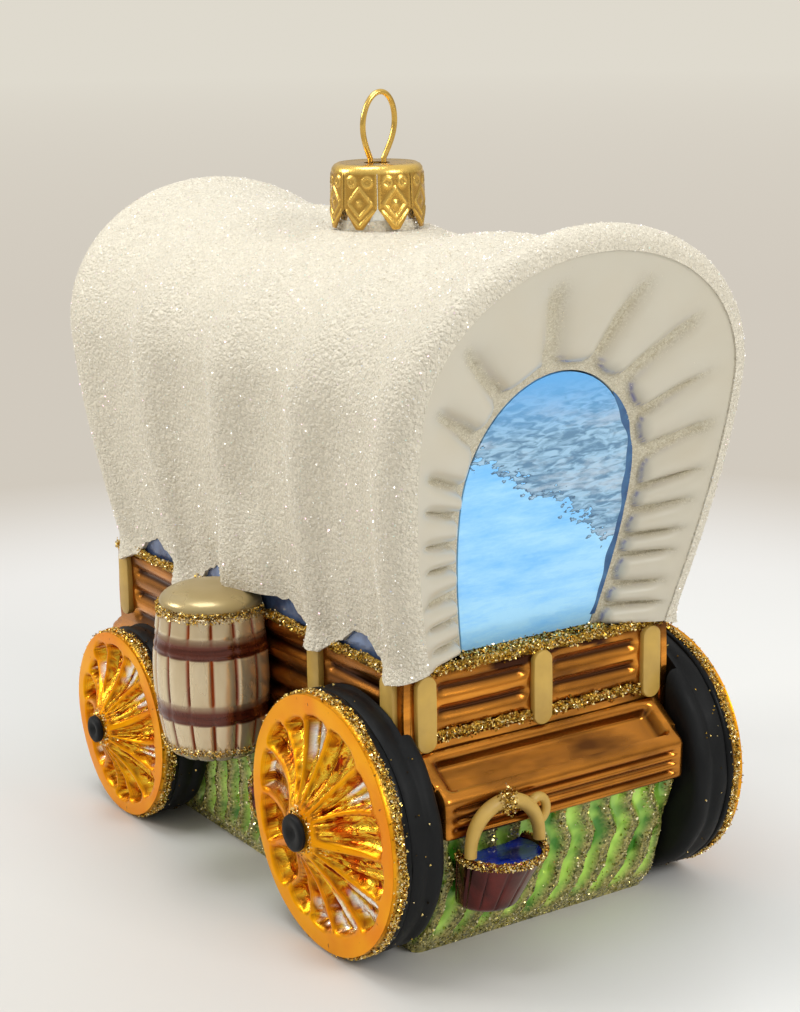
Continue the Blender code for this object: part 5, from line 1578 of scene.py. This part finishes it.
class ORNAMENT_OT_grass(bpy.types.Operator):
    """Builds the grass under the wagon and the bundle at its side"""

    bl_idname = "ornament.grass"
    bl_label = "Grass and bundle"

    def execute(self, context):
        sizes = context.scene.ornament_sizes
        rows, marks = grass_rows()
        grass = loft("grass_glass", rows, {"strand": marks}, around=(0, 0, GRASS_TOP / 2))
        finish_piece(grass, "green_grass", "green_lacquer", "grass_base", angle=60)
        rng = np.random.default_rng(82)
        body, strand = rows[1:-1], marks[1:-1]
        low = 1 - smooth_step(0.002, 0.005, body[:, :, 2])
        points = scatter(body, 14000, rng, np.maximum(strand ** 3, low * 0.9) + 0.003)
        points = points[points[:, 2] > 0.0002]
        shards("grass_glitter", points, sizes.glitter * 1.05, 83, "grass_glitter", "green_lacquer")
        self.add_bundle(sizes, rng)
        return {"FINISHED"}

    def add_bundle(self, sizes, rng):
        low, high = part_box("side_bundle")
        middle = (low + high) / 2
        half_y, half_z = (high.y - low.y) / 2, (high.z - low.z) / 2
        depth = (high.x - low.x) * 1.8
        tilt = np.linspace(-math.pi / 2, math.pi / 2, 25)
        ball = list(zip(np.cos(tilt), np.sin(tilt)))
        bundle = turned("bundle_glass", ball, np.linspace(0, FULL_TURN, 41), (0, 0))
        bundle.scale = (depth, half_y, half_z)
        bundle.location = (low.x + depth, (low.y + high.y) / 2, (low.z + high.z) / 2)
        make_active(bundle)
        bpy.ops.object.transform_apply(location=True, rotation=True, scale=True)
        for vertex in bundle.data.vertices:
            vertex.co.x += 0.0002 * math.sin(vertex.co.z * BUNDLE_RIDGES)
        cut(bundle, (high.x, 0, 0), (1, 0, 0))
        groove = bundle.data.attributes.new("groove", "FLOAT", "POINT")
        groove.data.foreach_set(
            "value", [0.5 + 0.5 * math.sin(vertex.co.z * BUNDLE_RIDGES) for vertex in bundle.data.vertices])
        finish_piece(bundle, "maroon_lacquer", "maroon_lacquer", "side_bundle", angle=60)
        t = rng.uniform(-1.2, 1.2, 360)
        line = np.stack([
            low.x + 0.0001 + (high.x - low.x) * (1 - np.cos(t)) * 0.8,
            middle.y + rng.normal(size=t.size) * 0.0003, middle.z + half_z * np.sin(t)], axis=1)
        shards("bundle_glitter", line, sizes.glitter * 0.85, 84, "gold_glitter", "maroon_lacquer")


# Cap, neck and hanger


CAP_PETALS = 8
CAP_TURN = math.radians(12.0)
CAP_TOP_RADIUS = 0.0081
CAP_SHOULDER = 0.0017
CAP_HOLE = 0.0023
CAP_RELIEF = 0.00025
CAP_FOOT_RADIUS = 0.0087
NECK_WALL = 0.0018
WIRE = 0.00055


def bar_mark(a, b, start, end, width):
    """Raised bar between two points of the petal's plan, in millimetres."""
    ax, ay, bx, by = *start, *end
    length = math.hypot(bx - ax, by - ay)
    t = np.clip(((a - ax) * (bx - ax) + (b - ay) * (by - ay)) / length ** 2, 0, 1)
    return bell(np.hypot(a - ax - t * (bx - ax), b - ay - t * (by - ay)), 0.0, width)


def petal_relief(a, b):
    """Stamped pattern of one petal: a across and b up from its tip, in millimetres."""
    stamps = [bell(np.hypot(a, b - 4.5), 0.0, 0.50)]
    for side in (-1, 1):
        from_ring = np.hypot(a - side * 1.45, b - 8.2)
        stamps += [
            bell(from_ring, 0.75, 0.24),
            0.8 * bell(from_ring, 0.0, 0.32),
            bar_mark(a, b, (0.0, 7.2), (side * 2.15, 4.5), 0.24),
            bar_mark(a, b, (side * 2.15, 4.5), (0.0, 2.1), 0.24),
            0.85 * bar_mark(a, b, (side * 2.5, 3.2), (side * 0.15, 0.75), 0.22),
            0.6 * bar_mark(a, b, (side * 2.9, 9.3), (side * 2.9, 3.9), 0.16),
        ]
    return np.max(stamps, axis=0)


class ORNAMENT_OT_cap(bpy.types.Operator):
    """Builds the stamped crown cap, the glass neck under it and the wire hanger"""

    bl_idname = "ornament.cap"
    bl_label = "Cap and hanger"

    def execute(self, context):
        self.build_cap()
        self.build_neck()
        self.build_hanger()
        return {"FINISHED"}

    def build_cap(self):
        s = np.linspace(-1, 1, 31)
        # Each point's painted shade: darker where the stamped relief is not raised.
        points, recess_shade = [], []

        def add(radius, z, half, low):
            points.append(circle(s * half, radius, (0, 0), z))
            recess_shade.append(np.broadcast_to(low, s.shape))

        half_turn = math.pi / CAP_PETALS
        inner = CAP_TOP_RADIUS - CAP_SHOULDER
        for share in np.linspace(0, 1, 7):
            swirl = 0.5 + 0.5 * np.cos(s * FULL_TURN)
            stamp = bell(share, 0.82, 0.10) * 0.6 * swirl + bell(share, 0.45, 0.08) * 0.5
            add(CAP_HOLE + (inner - CAP_HOLE) * share, CAP_TOP - 0.00018 + 0.00018 * stamp, half_turn,
                0.5 - 0.5 * stamp)
        for turn in np.radians((20, 45, 70, 90)):
            shoulder = CAP_TOP - 0.0014 * (1 - math.cos(turn))
            add(inner + CAP_SHOULDER * math.sin(turn), shoulder, half_turn, 0.0)
        full = half_turn - 0.00008 / CAP_FOOT_RADIUS
        for z in np.linspace(shoulder - 0.0003, CAP_FOOT, 42):
            up = (z - CAP_FOOT) / MM
            flare = (shoulder - z) / (shoulder - CAP_FOOT)
            radius = CAP_TOP_RADIUS + (CAP_FOOT_RADIUS - CAP_RELIEF - CAP_TOP_RADIUS) * flare
            half = full * np.interp(up, (0.0, 3.6), (0.20, 1.0))
            relief = petal_relief(s * half * radius / MM, np.full(s.shape, up))
            add(radius + CAP_RELIEF * relief, z, half, 1 - relief)
        petal = loft("cap_petal", points, {"low": recess_shade}, around=(0, 0, 0.118), weld=False)
        middle = Matrix.Translation((0, NECK_Y, 0))
        turns = [half_turn * (2 * k + 1) + CAP_TURN for k in range(CAP_PETALS)]
        cap = join_copies(petal, [middle @ Matrix.Rotation(turn, 4, "Z") for turn in turns], "cap_stamped")
        edit(cap, bpy.ops.mesh.remove_doubles, threshold=1e-5)
        thicken(cap, 0.0003)
        finish_piece(cap, "stamped_gold", "gold_metal", "cap", body="cap", angle=70)

    def build_neck(self):
        low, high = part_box("neck")
        radius = (high.x - low.x) / 2
        bore = radius - NECK_WALL
        profile = (
            (bore, low.z), (radius, low.z), (radius, high.z - 0.0009), (radius + 0.0002, high.z - 0.0005),
            (radius, high.z), (bore + 0.0002, high.z), (bore, high.z - 0.0004), (bore, low.z))
        neck = turned("neck_glass", profile, np.linspace(0, FULL_TURN, 65), (0, NECK_Y))
        finish_piece(neck, "silvered_neck", "clear_glass", "neck", angle=60)
        foot = ring_points(
            (0, NECK_Y, 0), "z", (radius + 0.0003, radius), CAP_FOOT - 0.0012, CAP_FOOT + 0.0012, 1600,
            np.random.default_rng(91), proud=0.0001)
        shards("neck_crystals", foot, 0.00022, 92, "clear_crystal", "frosted_cover", smallest=0.35)

    def build_hanger(self):
        slope = math.tan(math.radians(4.5))
        slot = 0.0014
        widest_half, widest, top = 0.0033, CAP_TOP + 0.0066, CAP_TOP + 0.0126 - WIRE
        spread = 0.0072 - NECK_WALL - WIRE - SEAM
        half = [
            (spread, CAP_TOP - 0.0170), (spread, CAP_TOP - 0.0105), (spread * 0.93, CAP_TOP - 0.0078),
            (spread * 0.62, CAP_TOP - 0.0041), (slot, CAP_TOP - 0.0005 - WIRE), (slot, CAP_TOP + WIRE)]
        start = CAP_TOP + WIRE
        for t in np.linspace(0.1, 0.95, 10):
            x = slot + (widest_half - slot) * math.sin(math.pi / 2 * t)
            half.append((x, start + (widest - start) * t))
        for angle in np.radians(np.linspace(0, 84, 15)):
            half.append((widest_half * math.cos(angle), widest + (top - widest) * math.sin(angle)))
        outline = [(-x, z) for x, z in half] + [(0.0, top)] + half[::-1]
        line = [(x + max(0.0, z - CAP_TOP) * slope, NECK_Y, z) for x, z in outline]
        hanger = tube("hanger_wire", line, WIRE, sides=16, flatness=0.9)
        finish_piece(hanger, "gold_wire", "gold_metal", "hanger", body="hanger", angle=60)


# Stage


WALL_NEAR = (0.640, 0.590, 0.515)
WALL_FAR = (0.737, 0.700, 0.615)
CAMERA_PLACE = (-0.20594, -0.32381, 0.16012)
CAMERA_AZIMUTH = math.radians(-33.23)
CAMERA_ELEVATION = math.radians(14.12)
CAMERA_ROLL = math.radians(-0.97)
FOCAL_SHARE = 2139.67 / 1012
SENSOR_WIDTH = 36.0
SOFTBOXES = (
    ("top_softbox", (-0.14, 0.04, 0.84), (0.36, 0.36), 2.6, (0.94, 0.975, 1.0)),
    ("left_softbox", (-0.46, 0.34, 0.38), (0.22, 0.22), 1.35, (1.0, 0.97, 0.91)),
    ("front_softbox", (0.14, -0.66, 0.46), (0.28, 0.20), 1.9, (1.0, 0.99, 0.97)),
)


class ORNAMENT_OT_stage(bpy.types.Operator):
    """Adds the pale floor, the soft lights and the camera"""

    bl_idname = "ornament.stage"
    bl_label = "Stage"

    def execute(self, context):
        self.add_camera(context)
        self.add_floor()
        self.add_world(context)
        self.add_lights(context)
        context.scene.view_settings.view_transform = "Standard"
        return {"FINISHED"}

    def add_camera(self, context):
        data = bpy.data.cameras.new("camera")
        camera = bpy.data.objects.new("camera", data)
        context.scene.collection.objects.link(camera)
        azimuth, elevation, roll = CAMERA_AZIMUTH, CAMERA_ELEVATION, CAMERA_ROLL
        back = Vector((math.sin(azimuth) * math.cos(elevation), -math.cos(azimuth) * math.cos(elevation),
                       math.sin(elevation)))
        right = Vector((0, 0, 1)).cross(back).normalized()
        up = back.cross(right)
        level_right = math.cos(roll) * right + math.sin(roll) * up
        level_up = -math.sin(roll) * right + math.cos(roll) * up
        turn = Matrix((level_right, level_up, back)).transposed().to_4x4()
        camera.matrix_world = Matrix.Translation(CAMERA_PLACE) @ turn
        data.sensor_fit = "AUTO"
        data.sensor_width = SENSOR_WIDTH
        data.lens = SENSOR_WIDTH * FOCAL_SHARE
        data.clip_start, data.clip_end = 0.01, 100.0
        context.scene.camera = camera

    def add_floor(self):
        """A floor that is lit near the ornament and, seen directly or in it, fades into an even wall."""
        clear_selection()
        bpy.ops.mesh.primitive_circle_add(vertices=96, radius=40.0, fill_type="NGON")
        floor = name_active("floor")
        paint = Paint(bpy.data.materials.new("pale_floor"))
        place = paint.place()
        reach = paint.node("VectorMath", {0: place}, operation="LENGTH")["Value"]
        # Painted light and shade: the floor is darker on the side towards the camera and lighter to the right
        # as the camera sees it.
        depth = paint.dot(place, (0.536, 0.844, 0.0))
        side = paint.dot(place, (0.844, -0.536, 0.0))
        colour = paint.mix(paint.span(depth, -0.09, 0.07), (0.60, 0.585, 0.555), (0.685, 0.68, 0.665))
        colour = paint.mix(paint.span(side, 0.015, 0.06), colour, (0.745, 0.745, 0.73))
        paint.finish(colour=colour, rough=0.5, specular=0.25)
        wall = paint.mix(paint.span(reach, 0.7, 3.0), WALL_NEAR, WALL_FAR)
        wall = paint.mix(paint.span(reach, 0.20, 0.31), (0.86, 0.835, 0.80), wall)
        flat = paint.node("Emission", {"Color": wall, "Strength": 1.0})[0]
        path = paint.node("LightPath")
        seen = paint.math("MAXIMUM", path["Is Camera Ray"], path["Is Glossy Ray"])
        seen = paint.math("MAXIMUM", seen, path["Is Transmission Ray"])
        ease = paint.span(reach, 0.13, 0.29, interpolation_type="SMOOTHSTEP")
        lit = paint.tree.nodes["Principled BSDF"].outputs[0]
        paint.surface("Material Output", paint.multiply(seen, ease), lit, flat)
        floor.data.materials.append(paint.owner)

    def add_world(self, context):
        """A soft sky that lights the ornament, behind a plain backdrop that the camera sees."""
        context.scene.world = bpy.data.worlds.new("studio")
        paint = Paint(context.scene.world)
        height = paint.node("SeparateXYZ", {0: paint.node("TexCoord")["Generated"]})[2]
        sky = paint.mix(paint.span(height, 0.0, 0.7), (0.46, 0.435, 0.39), (1.0, 0.995, 0.98))
        background = paint.tree.nodes["Background"]
        paint.fill(background, {"Color": sky, "Strength": 0.82})
        backdrop = paint.node("Background", {"Color": opaque(WALL_FAR), "Strength": 1.0})[0]
        seen = paint.node("LightPath")["Is Camera Ray"]
        paint.surface("World Output", seen, background.outputs[0], backdrop)

    def add_lights(self, context):
        for name, place, size, power, colour in SOFTBOXES:
            data = bpy.data.lights.new(name, "AREA")
            data.shape = "RECTANGLE"
            data.size, data.size_y = size
            data.energy = power
            data.color = colour
            light = bpy.data.objects.new(name, data)
            context.scene.collection.objects.link(light)
            light.location = place
            light.rotation_euler = (Vector((0, 0, 0.06)) - Vector(place)).to_track_quat("-Z", "Y").to_euler()


class ORNAMENT_PT_sidebar(bpy.types.Panel):
    """Lists the ornament's pieces and their sizes and colours"""

    bl_label = "Covered wagon ornament"
    bl_space_type = "VIEW_3D"
    bl_region_type = "UI"
    bl_category = "Ornament"

    def draw(self, context):
        layout = self.layout
        for operator in PIECES:
            layout.operator(operator.bl_idname)
        for group in (context.scene.ornament_sizes, context.scene.ornament_colours):
            box = layout.box()
            for key in group.bl_rna.properties.keys():
                if key not in ("rna_type", "name"):
                    box.prop(group, key)


PIECES = (
    ORNAMENT_OT_stage, ORNAMENT_OT_cover, ORNAMENT_OT_curtains, ORNAMENT_OT_box, ORNAMENT_OT_feed_boxes,
    ORNAMENT_OT_wheels, ORNAMENT_OT_barrels, ORNAMENT_OT_bucket, ORNAMENT_OT_grass, ORNAMENT_OT_cap,
)
CLASSES = (OrnamentSizes, OrnamentColours, *PIECES, ORNAMENT_PT_sidebar)


def register():
    for item in CLASSES:
        bpy.utils.register_class(item)
    bpy.types.Scene.ornament_sizes = bpy.props.PointerProperty(type=OrnamentSizes)
    bpy.types.Scene.ornament_colours = bpy.props.PointerProperty(type=OrnamentColours)


def unregister():
    del bpy.types.Scene.ornament_colours
    del bpy.types.Scene.ornament_sizes
    for item in reversed(CLASSES):
        bpy.utils.unregister_class(item)


def main():
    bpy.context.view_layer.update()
    register()
    for operator in (
        bpy.ops.ornament.stage, bpy.ops.ornament.cover, bpy.ops.ornament.curtains, bpy.ops.ornament.box,
        bpy.ops.ornament.feed_boxes, bpy.ops.ornament.wheels, bpy.ops.ornament.barrels,
        bpy.ops.ornament.bucket, bpy.ops.ornament.grass, bpy.ops.ornament.cap,
    ):
        operator()


if __name__ == "__main__":
    main()
